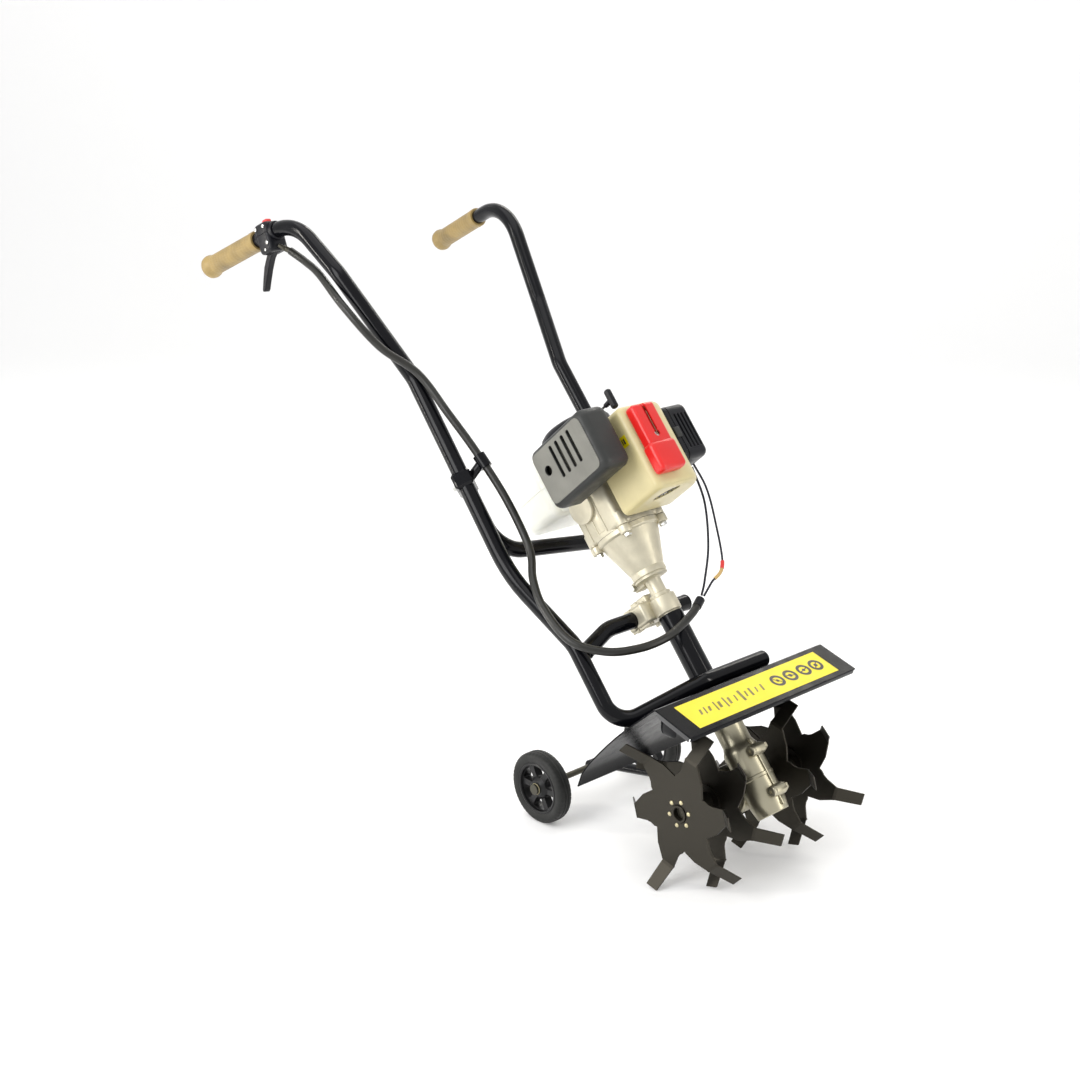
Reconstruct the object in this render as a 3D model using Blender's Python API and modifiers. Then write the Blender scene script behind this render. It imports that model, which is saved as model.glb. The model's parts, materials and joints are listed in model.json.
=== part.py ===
"""Two-stroke mini tiller: one object per sub-part, metres, +Z up, +X forward, +Y the machine's left.

Everything on the leaning drive line is placed in a drive frame: its Z runs up the drive line from
the tines to the engine, its X points forward and up, its Y is the machine's left.
"""

from math import cos, pi, radians, sin

import bmesh
import bpy
from mathutils import Matrix, Vector

# ---- driving dimensions (metres, degrees) ----
LEAN = 40.65  # the drive line leans this far back from upright
ORIGIN = (0.271, 0.0, 0.369)  # the drive frame's origin, on the drive line at the tube clamp
GAP = 0.0003

HANDLE_R = 0.0125  # handle and frame tube, 25 mm outside
BEND_R = 0.052
TOP_BEND_R = 0.085
KNEE_R = 0.200
FOOT_BEND_R = 0.036
GRIP_LEN = 0.142
GRIP_R = 0.0165
SHEATH_R = 0.0062

DRIVE_R = 0.019  # drive tube, 38 mm outside
DRIVE_BORE = 0.0168
SHAFT_R = 0.004
TUBE_TOP = -0.0225
TUBE_END = -0.232

TINE_X, TINE_Z = 0.4271, 0.1210  # tine shaft axis
TINE_SHAFT_R = 0.009
TINE_R = 0.1205
BLADES = 6
FOLD_R = 0.0895  # where a blade tip is bent
TIP_OUT = 0.0270  # how far a tip stands out of its plate
TIP_TURN = 0.040  # a tip sits this far ahead of its arm, in radians
TIP_WIDE = 0.0210
OUTER_Y, INNER_Y = 0.1220, 0.0615
PLATE_T = 0.003

WHEEL_X, WHEEL_R, WHEEL_W = 0.1395, 0.057, 0.026
WHEEL_Y = 0.123
AXLE_R = 0.005

FENDER_HALF = 0.179
FENDER_T = 0.002
FENDER_SIDE = (
    (0.4935, 0.2770),
    (0.4282, 0.2957),
    (0.4130, 0.2835),
    (0.3739, 0.2489),
    (0.3389, 0.2138),
    (0.3029, 0.1728),
    (0.2864, 0.1492),
    (0.2784, 0.1268),
)

ENGINE_TOP = 0.2350  # top face of the crankcase on the drive line
CASE_BOTTOM = 0.1186
COVER_Z = (0.1230, 0.2580)  # cylinder cover, along the drive line
COVER_BACK = 0.0600
COVER_WALL = 0.0030


# ---- scene, collections, materials ----
for old in list(bpy.data.objects):
    bpy.data.objects.remove(old, do_unlink=True)
scene = bpy.context.scene
parts = bpy.data.collections.new("mini_tiller")
cutters = bpy.data.collections.new("cutters")
scene.collection.children.link(parts)
scene.collection.children.link(cutters)

MATERIALS = {
    "black_paint": ((0.012, 0.012, 0.014), 0.22, 0.0),
    "black_plastic": ((0.02, 0.02, 0.022), 0.5, 0.0),
    "guard_grey": ((0.09, 0.09, 0.08), 0.6, 0.0),
    "cream_plastic": ((0.62, 0.56, 0.33), 0.42, 0.0),
    "tank_white": ((0.85, 0.85, 0.78), 0.35, 0.0),
    "red_plastic": ((0.72, 0.02, 0.02), 0.35, 0.0),
    "grip_tan": ((0.42, 0.31, 0.13), 0.65, 0.0),
    "cast_aluminium": ((0.66, 0.63, 0.52), 0.42, 1.0),
    "gearbox_cast": ((0.45, 0.42, 0.31), 0.45, 1.0),
    "bright_steel": ((0.7, 0.68, 0.6), 0.3, 1.0),
    "dark_steel": ((0.08, 0.075, 0.06), 0.45, 1.0),
    "tine_steel": ((0.045, 0.04, 0.03), 0.5, 0.6),
    "rubber": ((0.018, 0.018, 0.018), 0.75, 0.0),
    "bronze": ((0.5, 0.33, 0.14), 0.35, 1.0),
}


def material(name):
    found = bpy.data.materials.get(name)
    if found:
        return found
    color, rough, metal = MATERIALS[name]
    made = bpy.data.materials.new(name)
    made.use_nodes = True
    shader = made.node_tree.nodes["Principled BSDF"]
    shader.inputs["Base Color"].default_value = (*color, 1.0)
    shader.inputs["Roughness"].default_value = rough
    shader.inputs["Metallic"].default_value = metal
    made.diffuse_color = (*color, 1.0)
    return made


drive_frame = bpy.data.objects.new("drive_frame", None)
drive_frame.location = ORIGIN
drive_frame.rotation_euler = (0.0, -radians(LEAN), 0.0)
scene.collection.objects.link(drive_frame)
bpy.context.view_layer.update()
DRIVE = Matrix.Translation(ORIGIN) @ Matrix.Rotation(-radians(LEAN), 4, "Y")


# ---- building helpers ----
def add(name, data, mat=None, frame=None, at=(0, 0, 0), turn=(0, 0, 0), cutter=False):
    """Link an object; frame is the empty it sits in, turn is in degrees."""
    made = bpy.data.objects.new(name, data)
    made.location = at
    made.rotation_euler = [radians(a) for a in turn]
    made.parent = frame
    if cutter:
        cutters.objects.link(made)
        made.hide_render = True
        made.display_type = "WIRE"
    else:
        parts.objects.link(made)
        data.materials.append(material(mat))
    return made


def box_mesh(name, size, bevel=0.0, segments=1):
    bm = bmesh.new()
    bmesh.ops.create_cube(bm, size=1.0)
    bmesh.ops.scale(bm, vec=size, verts=bm.verts)
    if bevel:
        bmesh.ops.bevel(bm, geom=bm.edges[:], offset=bevel, segments=segments, affect="EDGES", profile=0.5)
    mesh = bpy.data.meshes.new(name)
    bm.to_mesh(mesh)
    bm.free()
    return mesh


def span(low, high):
    """The middle and the size of a box given by two corners."""
    low, high = Vector(low), Vector(high)
    return (low + high) / 2, high - low


def box(name, low, high, mat=None, frame=None, bevel=0.0, segments=1, cutter=False):
    middle, size = span(low, high)
    mesh = box_mesh(name, size, bevel, segments)
    return add(name, mesh, mat, frame, middle, cutter=cutter)


def rod_mesh(name, radius, length, sides=20, top=None):
    """A cylinder or cone frustum on Z, from z = 0 up to its length."""
    bm = bmesh.new()
    bmesh.ops.create_cone(
        bm, cap_ends=True, segments=sides, radius1=radius, radius2=radius if top is None else top, depth=length
    )
    bmesh.ops.translate(bm, vec=(0, 0, length / 2), verts=bm.verts)
    mesh = bpy.data.meshes.new(name)
    bm.to_mesh(mesh)
    bm.free()
    return mesh


def rod(name, start, end, radius, mat=None, frame=None, sides=20, cutter=False, top=None):
    """A rod between two points."""
    start, end = Vector(start), Vector(end)
    mesh = rod_mesh(name, radius, (end - start).length, sides, top)
    made = add(name, mesh, mat, frame, start, cutter=cutter)
    made.rotation_mode = "QUATERNION"
    made.rotation_quaternion = Vector((0, 0, 1)).rotation_difference(end - start)
    return made


def turned(name, profile, mat=None, frame=None, at=(0, 0, 0), turn=(0, 0, 0), steps=32, ring=False, cutter=False):
    """A turned solid on its own Z: the profile runs down its outer side; a ring's profile is closed."""
    edges = [(i, i + 1) for i in range(len(profile) - 1)]
    if ring:
        edges.append((len(profile) - 1, 0))
    mesh = bpy.data.meshes.new(name)
    mesh.from_pydata([(r, 0.0, z) for r, z in profile], edges, [])
    made = add(name, mesh, mat, frame, at, turn, cutter)
    screw = made.modifiers.new("turn", "SCREW")
    screw.axis = "Z"
    screw.steps = screw.render_steps = steps
    screw.use_merge_vertices = True
    screw.merge_threshold = 0.00005
    screw.use_smooth_shade = False
    return made


def filleted(points, bends, parts_per_bend=6):
    """The points of a path whose corners are rounded; one bend radius for each corner."""
    points = [Vector(p) for p in points]
    path = [points[0]]
    for before, corner, after, bend in zip(points, points[1:], points[2:], bends):
        a, b = (before - corner).normalized(), (after - corner).normalized()
        half = a.angle(b) / 2
        room = min((before - corner).length, (after - corner).length) * 0.48
        back = min(bend / max(sin(half), 0.05) * cos(half), room)
        radius = back * sin(half) / cos(half)
        centre = corner + (a + b).normalized() * (radius / sin(half))
        start, end = corner + a * back - centre, corner + b * back - centre
        whole = start.angle(end)
        count = max(2, round(whole / radians(90) * parts_per_bend) + 1)
        for i in range(count + 1):
            t = i / count
            path.append(centre + (start * sin((1 - t) * whole) + end * sin(t * whole)) / sin(whole))
    return path + [points[-1]]


def flowing(points, step):
    """Points about a step apart on a smooth curve through the given points."""
    points = [Vector(p) for p in points]
    ends = [points[0] * 2 - points[1]] + points + [points[-1] * 2 - points[-2]]
    path = []
    for p0, p1, p2, p3 in zip(ends, ends[1:], ends[2:], ends[3:]):
        count = max(1, round((p2 - p1).length / step))
        for i in range(count):
            t = i / count
            bend = (p0 * 2 - p1 * 5 + p2 * 4 - p3) * t * t + (p1 * 3 - p0 - p2 * 3 + p3) * t * t * t
            path.append((p1 * 2 + (p2 - p0) * t + bend) / 2)
    return path + [points[-1]]


def tube(name, path, radius, mat=None, frame=None, resolution=4, cutter=False):
    """A round bar along a path, with closed ends."""
    curve = bpy.data.curves.new(name, "CURVE")
    curve.dimensions = "3D"
    spline = curve.splines.new("POLY")
    spline.points.add(len(path) - 1)
    for point, place in zip(spline.points, path):
        point.co = (*place, 1.0)
    curve.bevel_depth = radius
    curve.bevel_resolution = resolution
    curve.use_fill_caps = True
    return add(name, curve, mat, frame, cutter=cutter)


def as_mesh(made):
    """Turn a curve object into a mesh object with welded caps, so that it can be cut or joined."""
    bpy.context.view_layer.update()
    graph = bpy.context.evaluated_depsgraph_get()
    mesh = bpy.data.meshes.new_from_object(made.evaluated_get(graph))
    bm = bmesh.new()
    bm.from_mesh(mesh)
    bmesh.ops.remove_doubles(bm, verts=bm.verts, dist=0.00002)
    bmesh.ops.recalc_face_normals(bm, faces=bm.faces)
    bm.to_mesh(mesh)
    bm.free()
    name, home, world = made.name, made.users_collection[0], made.matrix_world.copy()
    is_cutter = home == cutters
    bpy.data.objects.remove(made)
    new = bpy.data.objects.new(name, mesh)
    home.objects.link(new)
    new.matrix_world = world
    if is_cutter:
        new.hide_render = True
        new.display_type = "WIRE"
    return new


def outline(name, loops, thickness, mat=None, frame=None, at=(0, 0, 0), turn=(0, 0, 0), cutter=False):
    """A flat plate from closed outlines in XY; the first is the edge and the others are holes."""
    curve = bpy.data.curves.new(name, "CURVE")
    curve.dimensions = "2D"
    curve.fill_mode = "BOTH"
    curve.extrude = thickness / 2
    for loop in loops:
        spline = curve.splines.new("POLY")
        spline.points.add(len(loop) - 1)
        for point, (x, y) in zip(spline.points, loop):
            point.co = (x, y, 0.0, 1.0)
        spline.use_cyclic_u = True
    return as_mesh(add(name, curve, mat, frame, at, turn, cutter))


def circle(radius, sides=24, x=0.0, y=0.0):
    return [(x + radius * cos(2 * pi * i / sides), y + radius * sin(2 * pi * i / sides)) for i in range(sides)]


def cut(made, *tools, join=False):
    """Take cutters away from a part, or join them to it."""
    for tool in tools:
        change = made.modifiers.new(tool.name, "BOOLEAN")
        change.operation = "UNION" if join else "DIFFERENCE"
        change.solver = "EXACT"
        change.object = tool
    return made


def join(made, *tools):
    return cut(made, *tools, join=True)


def local(x, y, z):
    """A point of the drive frame, in world coordinates."""
    return DRIVE @ Vector((x, y, z))


ON_Y = (-90, 0, 0)  # turns a part's own Z onto +Y


# ---- handles and frame ----
RIGHT_TOP = Vector((-0.1160, -0.2185, 0.7855))
LEFT_TOP = Vector((-0.1180, 0.2195, 0.7860))
RIGHT_GRIP_END = Vector((-0.3414, -0.2450, 0.8534))
LEFT_GRIP_END = Vector((-0.3414, 0.2450, 0.8534))
LEG_X, LEG_Y = -0.0425, -0.157
FOOT_X, FOOT_Z = DRIVE_R + HANDLE_R + GAP, -0.1385
J_X, J_Y = -0.1280, -0.1352
BRACE_Z = -0.0045


def build_handles():
    right_inner = RIGHT_GRIP_END + (RIGHT_TOP - RIGHT_GRIP_END).normalized() * 0.006
    right_path = filleted(
        (
            (FOOT_X, 0.096, FOOT_Z),
            (FOOT_X, -0.034, FOOT_Z),
            (LEG_X, LEG_Y, FOOT_Z - 0.005),
            (LEG_X, LEG_Y, -0.012),
            (-0.1040, LEG_Y, 0.133),
            (-0.0990, LEG_Y, 0.475),
            (-0.0835, -0.2120, 0.665),
            RIGHT_TOP,
            right_inner,
        ),
        (BEND_R, FOOT_BEND_R, BEND_R, KNEE_R, BEND_R, BEND_R, TOP_BEND_R),
    )
    tube("right_handle_tube", right_path, HANDLE_R, "black_paint", drive_frame)
    left_inner = LEFT_GRIP_END + (LEFT_TOP - LEFT_GRIP_END).normalized() * 0.006
    left_path = filleted(
        (
            (J_X, J_Y, 0.318),
            (J_X, J_Y, 0.1800),
            (J_X, 0.1650, 0.1385),
            (-0.1330, 0.1680, 0.470),
            (-0.1380, 0.1985, 0.595),
            LEFT_TOP,
            left_inner,
        ),
        (BEND_R, BEND_R, BEND_R, BEND_R, TOP_BEND_R),
    )
    tube("left_handle_tube", left_path, HANDLE_R, "black_paint", drive_frame)
    brace_path = filleted(
        (
            (LEG_X, 0.0800, BRACE_Z),
            (LEG_X, -0.0860, BRACE_Z),
            (LEG_X, LEG_Y + HANDLE_R + 2 * GAP, -0.0260),
        ),
        (0.07,),
    )
    brace = as_mesh(tube("brace_tube", brace_path, HANDLE_R, "black_paint", drive_frame))
    leg_cut = as_mesh(tube("cut_leg", right_path, HANDLE_R + 2 * GAP, None, drive_frame, cutter=True))
    cut(brace, leg_cut)
    turned(
        "brace_end_plug",
        ((0, 0.004), (0.0105, 0.004), (0.0128, 0.0018), (0.0128, GAP), (0, GAP)),
        "black_plastic",
        drive_frame,
        (LEG_X, 0.0800, BRACE_Z),
        ON_Y,
        20,
    )


def build_grip(name, end, top):
    """A grip on the end of a handle: its own Z runs from the outer end towards the handle."""
    along = (top - end).normalized()
    bore = HANDLE_R + GAP
    profile = [(0, 0.0055), (bore, 0.0055), (bore, GRIP_LEN), (GRIP_R, GRIP_LEN), (GRIP_R, 0.022)]
    profile += [(0.0185, 0.014), (0.0195, 0.006), (0.0185, 0.0), (0, 0)]
    grip = turned(name, profile, "grip_tan", drive_frame, end, steps=24)
    grip.rotation_mode = "QUATERNION"
    grip.rotation_quaternion = Vector((0, 0, 1)).rotation_difference(along)


def build_handle_clamp(sheath_run):
    """A block that ties the left handle's short leg to the right tube, with its bolt and a cable clip."""
    z = 0.2960
    right = Vector((-0.1021, LEG_Y, z))
    left = Vector((J_X, J_Y, z))
    middle = (right + left) / 2
    along = (left - right).normalized()
    across = Vector((-along.y, along.x, 0)) * -1
    angle = along.to_2d().angle_signed(Vector((1, 0)))
    mesh = box_mesh("handle_clamp", ((left - right).length + 0.0320, 0.0310, 0.0260), 0.004)
    block = add("handle_clamp", mesh, "black_paint", drive_frame, middle)
    block.rotation_euler = (0, 0, angle)
    clip_z = 0.3060
    near = min(sheath_run, key=lambda p: abs(p.z - clip_z))
    later = min(sheath_run, key=lambda p: abs(p.z - clip_z + 0.03))
    way = (later - near).normalized()
    ring = rod("join_clip_ring", near - way * 0.011, near + way * 0.011, 0.0098, None, drive_frame, 16, True)
    tab = rod("join_clip_tab", middle + across * 0.010 - along * 0.010, near, 0.0070, None, drive_frame, 12, True)
    join(block, tab, ring)
    start, end = right, left
    lean = Vector((0.00070, 0, 0.04))
    tools = [
        rod("cut_clamp_right", start - lean, start + lean, 0.0131, None, drive_frame, 24, True),
        rod("cut_clamp_left", end - Vector((0, 0, 0.04)), end + Vector((0, 0, 0.04)), 0.0129, None, drive_frame, 24, True),
        rod("cut_clamp_bolt", middle - across * 0.05, middle + across * 0.05, 0.0028, None, drive_frame, 12, True),
        as_mesh(tube("cut_clamp_sheath", sheath_run, SHEATH_R + 2 * GAP, None, drive_frame, 2, True)),
    ]
    cut(block, *tools)
    low, high = middle - across * 0.0205, middle + across * 0.0160
    bolt = rod("handle_clamp_bolt", low, high, 0.0025, "bright_steel", drive_frame, 12)
    head = rod("join_clamp_head", low, middle - across * 0.0158, 0.0052, None, drive_frame, 6, True)
    join(bolt, head)


def build_controls():
    """Throttle housing on the right handle, its trigger and the stop switch."""
    along = (RIGHT_TOP - RIGHT_GRIP_END).normalized()
    seat = RIGHT_GRIP_END + along * (GRIP_LEN + 0.031)
    frame = bpy.data.objects.new("throttle_frame", None)
    frame.parent = drive_frame
    frame.location = seat
    frame.rotation_mode = "QUATERNION"
    frame.rotation_quaternion = Vector((1, 0, 0)).rotation_difference(along)
    scene.collection.objects.link(frame)
    bpy.context.view_layer.update()
    body = box("throttle_housing", (-0.0155, -0.0180, -0.0310), (0.0155, 0.0180, 0.0180), "black_plastic", frame, 0.005, 2)
    bore = rod("cut_throttle_bore", (-0.05, 0, 0), (0.05, 0, 0), HANDLE_R + GAP, None, frame, 24, True)
    slot = box("cut_throttle_slot", (-0.030, -0.0065, -0.040), (0.0078, 0.0065, -0.0165), None, frame, cutter=True)
    pin = rod("join_throttle_pin", (0, -0.0170, -0.0250), (0, 0.0170, -0.0250), 0.0021, None, frame, 12, True)
    switch_bed = box("cut_switch_bed", (-0.0106, -0.0053, 0.0150), (0.0063, 0.0053, 0.0250), None, frame, cutter=True)
    cut(body, bore, slot, switch_bed)
    join(body, pin)
    pivot = Vector((0, 0, -0.0250))
    blade = (
        (0.0050, 0.0045),
        (0.0050, -0.0050),
        (-0.0080, -0.0130),
        (-0.0330, -0.0430),
        (-0.0430, -0.0560),
        (-0.0480, -0.0535),
        (-0.0400, -0.0370),
        (-0.0150, -0.0050),
        (-0.0050, 0.0048),
    )
    trigger = outline("throttle_trigger", [blade, circle(0.0026, 12)], 0.0115, "black_plastic", frame, pivot, (90, 0, 0))
    box("stop_switch", (-0.0060, -0.0050, 0.0153), (0.0060, 0.0050, 0.0235), "red_plastic", frame, 0.0012)
    return frame, trigger


def build_cables():
    """The control sheath, and the throttle cable and stop wire that leave its lower end."""
    end = Vector((0.0300, 0.0400, -0.0230))
    run = (
        (-0.1640, -0.2130, 0.7610),
        (-0.1431, -0.2120, 0.7258),
        (-0.1176, -0.2186, 0.6860),
        (-0.0881, -0.2272, 0.6082),
        (-0.0858, -0.2006, 0.5316),
        (-0.0781, -0.1632, 0.4724),
        (-0.0745, -0.1476, 0.3960),
        (-0.0735, -0.1330, 0.3245),
        (-0.0710, -0.1240, 0.2394),
        (-0.0720, -0.1260, 0.1560),
        (-0.0660, -0.1520, 0.1060),
        (-0.0520, -0.1700, 0.0560),
        (-0.0270, -0.1740, -0.0060),
        (-0.0020, -0.1450, -0.0430),
        (0.0200, -0.1050, -0.0590),
        (0.0300, -0.0600, -0.0600),
        (0.0300, -0.0200, -0.0500),
        (0.0305, 0.0150, -0.0370),
        end,
    )
    sheath_run = flowing(run, 0.0190)
    tube("cable_sheath", sheath_run, SHEATH_R, "rubber", drive_frame, 2)
    start = end + Vector((0.0002, 0.0063, 0.0056))
    throttle = (
        start,
        (0.0330, 0.0640, 0.0020),
        (0.0480, 0.0900, 0.0475),
        (0.0700, 0.1040, 0.1080),
        (0.0860, 0.0990, 0.1620),
    )
    tube("throttle_cable", flowing(throttle, 0.0085), 0.0018, "rubber", drive_frame, 2)
    wire_start = end + Vector((0.0045, 0.0052, 0.0022))
    wire = (
        wire_start,
        (0.0480, 0.0600, -0.0075),
        (0.0610, 0.0840, 0.0096),
        (0.0700, 0.1060, 0.0770),
        (0.0870, 0.1040, 0.1240),
        (0.0990, 0.0910, 0.1620),
    )
    tube("stop_wire", flowing(wire, 0.0085), 0.0017, "red_plastic", drive_frame, 2)
    return sheath_run


# ---- drive line ----
def build_drive_line():
    bell = turned(
        "clutch_bell",
        (
            (0.0500, 0.1183),
            (0.0500, 0.1110),
            (0.0455, 0.1060),
            (0.0440, 0.1000),
            (0.0265, 0.0500),
            (0.0265, 0.0390),
            (0.0125, 0.0370),
            (0.0125, 0.0150),
            (0.0165, 0.0120),
            (0.0165, -0.0350),
            (0.0075, -0.0350),
            (0.0075, 0.0500),
            (0.0190, 0.0550),
            (0.0365, 0.0980),
            (0.0385, 0.1183),
        ),
        "cast_aluminium",
        drive_frame,
        steps=28,
        ring=True,
    )
    lugs, holes = [], []
    for i, angle in enumerate((45, 135, 225, 315)):
        x, y = 0.0530 * cos(radians(angle)), 0.0530 * sin(radians(angle))
        lugs.append(rod(f"join_lug_{i}", (x, y, 0.1060), (x, y, 0.1183), 0.0095, None, drive_frame, 12, True))
        holes.append(rod(f"cut_lug_{i}", (x, y, 0.09), (x, y, 0.145), 0.0028, None, drive_frame, 12, True))
        if i in (1, 2):
            bolt = rod(f"bell_bolt_{i}", (x, y, 0.1000), (x, y, 0.1380), 0.0025, "bright_steel", drive_frame, 12)
            head = rod(f"join_bell_head_{i}", (x, y, 0.1000), (x, y, 0.1057), 0.0060, None, drive_frame, 6, True)
            join(bolt, head)
    ear = box("join_collar_ear", (-0.0350, -0.0110, 0.0310), (-0.0100, 0.0110, 0.0470), None, drive_frame, 0.002, 1, True)
    ear_slot = box("cut_collar_slot", (-0.0400, -0.0012, 0.0200), (-0.0090, 0.0012, 0.0485), None, drive_frame, cutter=True)
    ear_hole = rod("cut_collar_hole", (-0.0300, -0.03, 0.0385), (-0.0300, 0.03, 0.0385), 0.0028, None, drive_frame, 12, True)
    join(bell, *lugs, ear)
    cut(bell, *holes, ear_slot, ear_hole)
    collar = rod("collar_bolt", (-0.0300, -0.0180, 0.0385), (-0.0300, 0.0130, 0.0385), 0.0025, "bright_steel", drive_frame, 12)
    head = rod("join_collar_head", (-0.0300, -0.0180, 0.0385), (-0.0300, -0.0113, 0.0385), 0.0055, None, drive_frame, 6, True)
    join(collar, head)

    turned(
        "drive_tube",
        ((DRIVE_R, TUBE_TOP), (DRIVE_R, TUBE_END), (DRIVE_BORE, TUBE_END), (DRIVE_BORE, TUBE_TOP)),
        "black_paint",
        drive_frame,
        steps=28,
        ring=True,
    )
    rod("drive_shaft", (0, 0, -0.3260), (0, 0, 0.0905), SHAFT_R, "bright_steel", drive_frame, 16)
    turned(
        "clutch_drum",
        (
            (0.0320, 0.1130),
            (0.0320, 0.0880),
            (0.0110, 0.0880),
            (0.0110, 0.0780),
            (SHAFT_R + GAP, 0.0780),
            (SHAFT_R + GAP, 0.0915),
            (0.0290, 0.0915),
            (0.0290, 0.1130),
        ),
        "dark_steel",
        drive_frame,
        steps=28,
        ring=True,
    )
    turned(
        "crankshaft",
        (
            (0, 0.2980),
            (0.0080, 0.2980),
            (0.0080, 0.2790),
            (0.0180, 0.2790),
            (0.0180, 0.2740),
            (0.0500, 0.2740),
            (0.0500, 0.2480),
            (0.0180, 0.2480),
            (0.0180, 0.2390),
            (0.0090, 0.2390),
            (0.0090, 0.1130),
            (0.0265, 0.1120),
            (0.0265, 0.0945),
            (0, 0.0945),
        ),
        "dark_steel",
        drive_frame,
        steps=28,
    )


def build_cross_clamp():
    """The cast clamp that holds the brace tube behind the neck, in two halves with a bolt."""
    neck = 0.0168
    body = box("cross_clamp", (-0.0415, -0.0350, -0.0205), (-0.0120, 0.0350, 0.0110), "cast_aluminium", drive_frame, 0.003)
    collar = rod("join_clamp_collar", (0, 0, -0.0205), (0, 0, 0.0060), 0.0208, None, drive_frame, 28, True)
    neck_hole = rod("cut_clamp_neck", (0, 0, -0.05), (0, 0, 0.05), neck, None, drive_frame, 28, True)
    brace_hole = rod("cut_clamp_brace", (LEG_X, -0.07, BRACE_Z), (LEG_X, 0.07, BRACE_Z), 0.0129, None, drive_frame, 24, True)
    cap = box("cross_clamp_cap", (-0.0590, -0.0350, -0.0205), (-0.0424, 0.0350, 0.0110), "cast_aluminium", drive_frame, 0.003)
    cut(cap, brace_hole)
    lip = box("join_clamp_lip", (-0.0412, -0.0130, 0.0020), (-0.0190, 0.0130, 0.0220), None, drive_frame, cutter=True)
    cap_lip = box("join_cap_lip", (-0.0580, -0.0130, 0.0020), (-0.0427, 0.0130, 0.0220), None, drive_frame, cutter=True)
    bolt_hole = rod("cut_cap_bolt", (-0.08, 0, 0.0165), (0.0, 0, 0.0165), 0.0028, None, drive_frame, 12, True)
    join(body, lip, collar)
    join(cap, cap_lip)
    cut(body, neck_hole, brace_hole, bolt_hole)
    cut(cap, brace_hole, bolt_hole)
    bolt = rod("cross_clamp_bolt", (-0.0640, 0, 0.0165), (-0.0190, 0, 0.0165), 0.0025, "bright_steel", drive_frame, 12)
    head = rod("join_cap_head", (-0.0640, 0, 0.0165), (-0.0583, 0, 0.0165), 0.0052, None, drive_frame, 6, True)
    join(bolt, head)


# ---- gearbox and tines ----
SHAFT_X = -0.0432  # the tine shaft in the drive frame
SHAFT_Z = -0.2898
DRUM_R = 0.0365  # the gearbox round the worm wheel


def build_gearbox():
    for side, name in ((-1, "gearbox_right"), (1, "gearbox_left")):
        barrel = turned(
            name,
            (
                (0, -0.1950),
                (0.0230, -0.1950),
                (0.0230, -0.2380),
                (0.0275, -0.2460),
                (0.0275, -0.3300),
                (0.0240, -0.3480),
                (0, -0.3480),
            ),
            "gearbox_cast",
            drive_frame,
            steps=28,
        )
        tag = name[8:]
        drum = rod(f"join_drum_{tag}", (SHAFT_X, -0.0245, SHAFT_Z), (SHAFT_X, 0.0245, SHAFT_Z), DRUM_R, None, drive_frame, 28, True)
        web = box(f"join_web_{tag}", (SHAFT_X, -0.0200, SHAFT_Z - 0.032), (0.0, 0.0200, SHAFT_Z + 0.033), None, drive_frame, cutter=True)
        ops = [drum, web]
        for k, z in enumerate((-0.2560, -0.3200)):
            ops.append(rod(f"join_boss_{tag}_{k}", (0.0310, -0.0105, z), (0.0310, 0.0105, z), 0.0085, None, drive_frame, 12, True))
        join(barrel, *ops)
        tube_seat = rod(f"cut_seat_{tag}", (0, 0, -0.2325), (0, 0, -0.15), DRIVE_R + GAP, None, drive_frame, 28, True)
        shaft_way = rod(f"cut_way_{tag}", (0, 0, -0.30), (0, 0, -0.20), 0.0046, None, drive_frame, 16, True)
        worm_room = rod(f"cut_worm_{tag}", (0, 0, -0.3350), (0, 0, -0.2500), 0.0150, None, drive_frame, 24, True)
        wheel_room = rod(f"cut_wheel_{tag}", (SHAFT_X, -0.0125, SHAFT_Z), (SHAFT_X, 0.0125, SHAFT_Z), 0.0332, None, drive_frame, 28, True)
        bearing = rod(f"cut_bearing_{tag}", (SHAFT_X, -0.05, SHAFT_Z), (SHAFT_X, 0.05, SHAFT_Z), TINE_SHAFT_R + 0.0004, None, drive_frame, 24, True)
        tools = [tube_seat, shaft_way, worm_room, wheel_room, bearing]
        for k, z in enumerate((-0.2560, -0.3200)):
            tools.append(rod(f"cut_boss_{tag}_{k}", (0.0335, -0.03, z), (0.0335, 0.03, z), 0.0028, None, drive_frame, 12, True))
        low, high = ((-0.2, 0.0 - GAP / 2, -0.5), (0.2, 0.2, 0.1)) if side < 0 else ((-0.2, -0.2, -0.5), (0.2, GAP / 2, 0.1))
        tools.append(box(f"cut_half_{tag}", low, high, None, drive_frame, cutter=True))
        cut(barrel, *tools)
    for k, z in enumerate((-0.2560, -0.3200)):
        label = ("upper", "lower")[k]
        bolt = rod(f"gearbox_bolt_{label}", (0.0335, -0.0170, z), (0.0335, 0.0155, z), 0.0025, "bright_steel", drive_frame, 12)
        head = rod(f"join_gear_head_{k}", (0.0335, -0.0170, z), (0.0335, -0.0108, z), 0.0078, None, drive_frame, 12, True)
        nut = rod(f"join_gear_nut_{k}", (0.0335, 0.0108, z), (0.0335, 0.0150, z), 0.0062, None, drive_frame, 6, True)
        join(bolt, head, nut)
    turned(
        "worm",
        ((0.0112, -0.2640), (0.0112, -0.3160), (SHAFT_R + GAP, -0.3160), (SHAFT_R + GAP, -0.2640)),
        "dark_steel",
        drive_frame,
        steps=24,
        ring=True,
    )


def on_tine_axis(name, profile, mat, steps=24, side=1, ring=True):
    """A turned piece on the tine shaft; its Z is the distance out from the middle on the side given."""
    turn = ON_Y if side > 0 else (90, 0, 0)
    return turned(name, profile, mat, None, (TINE_X, 0, TINE_Z), turn, steps, ring)


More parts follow.
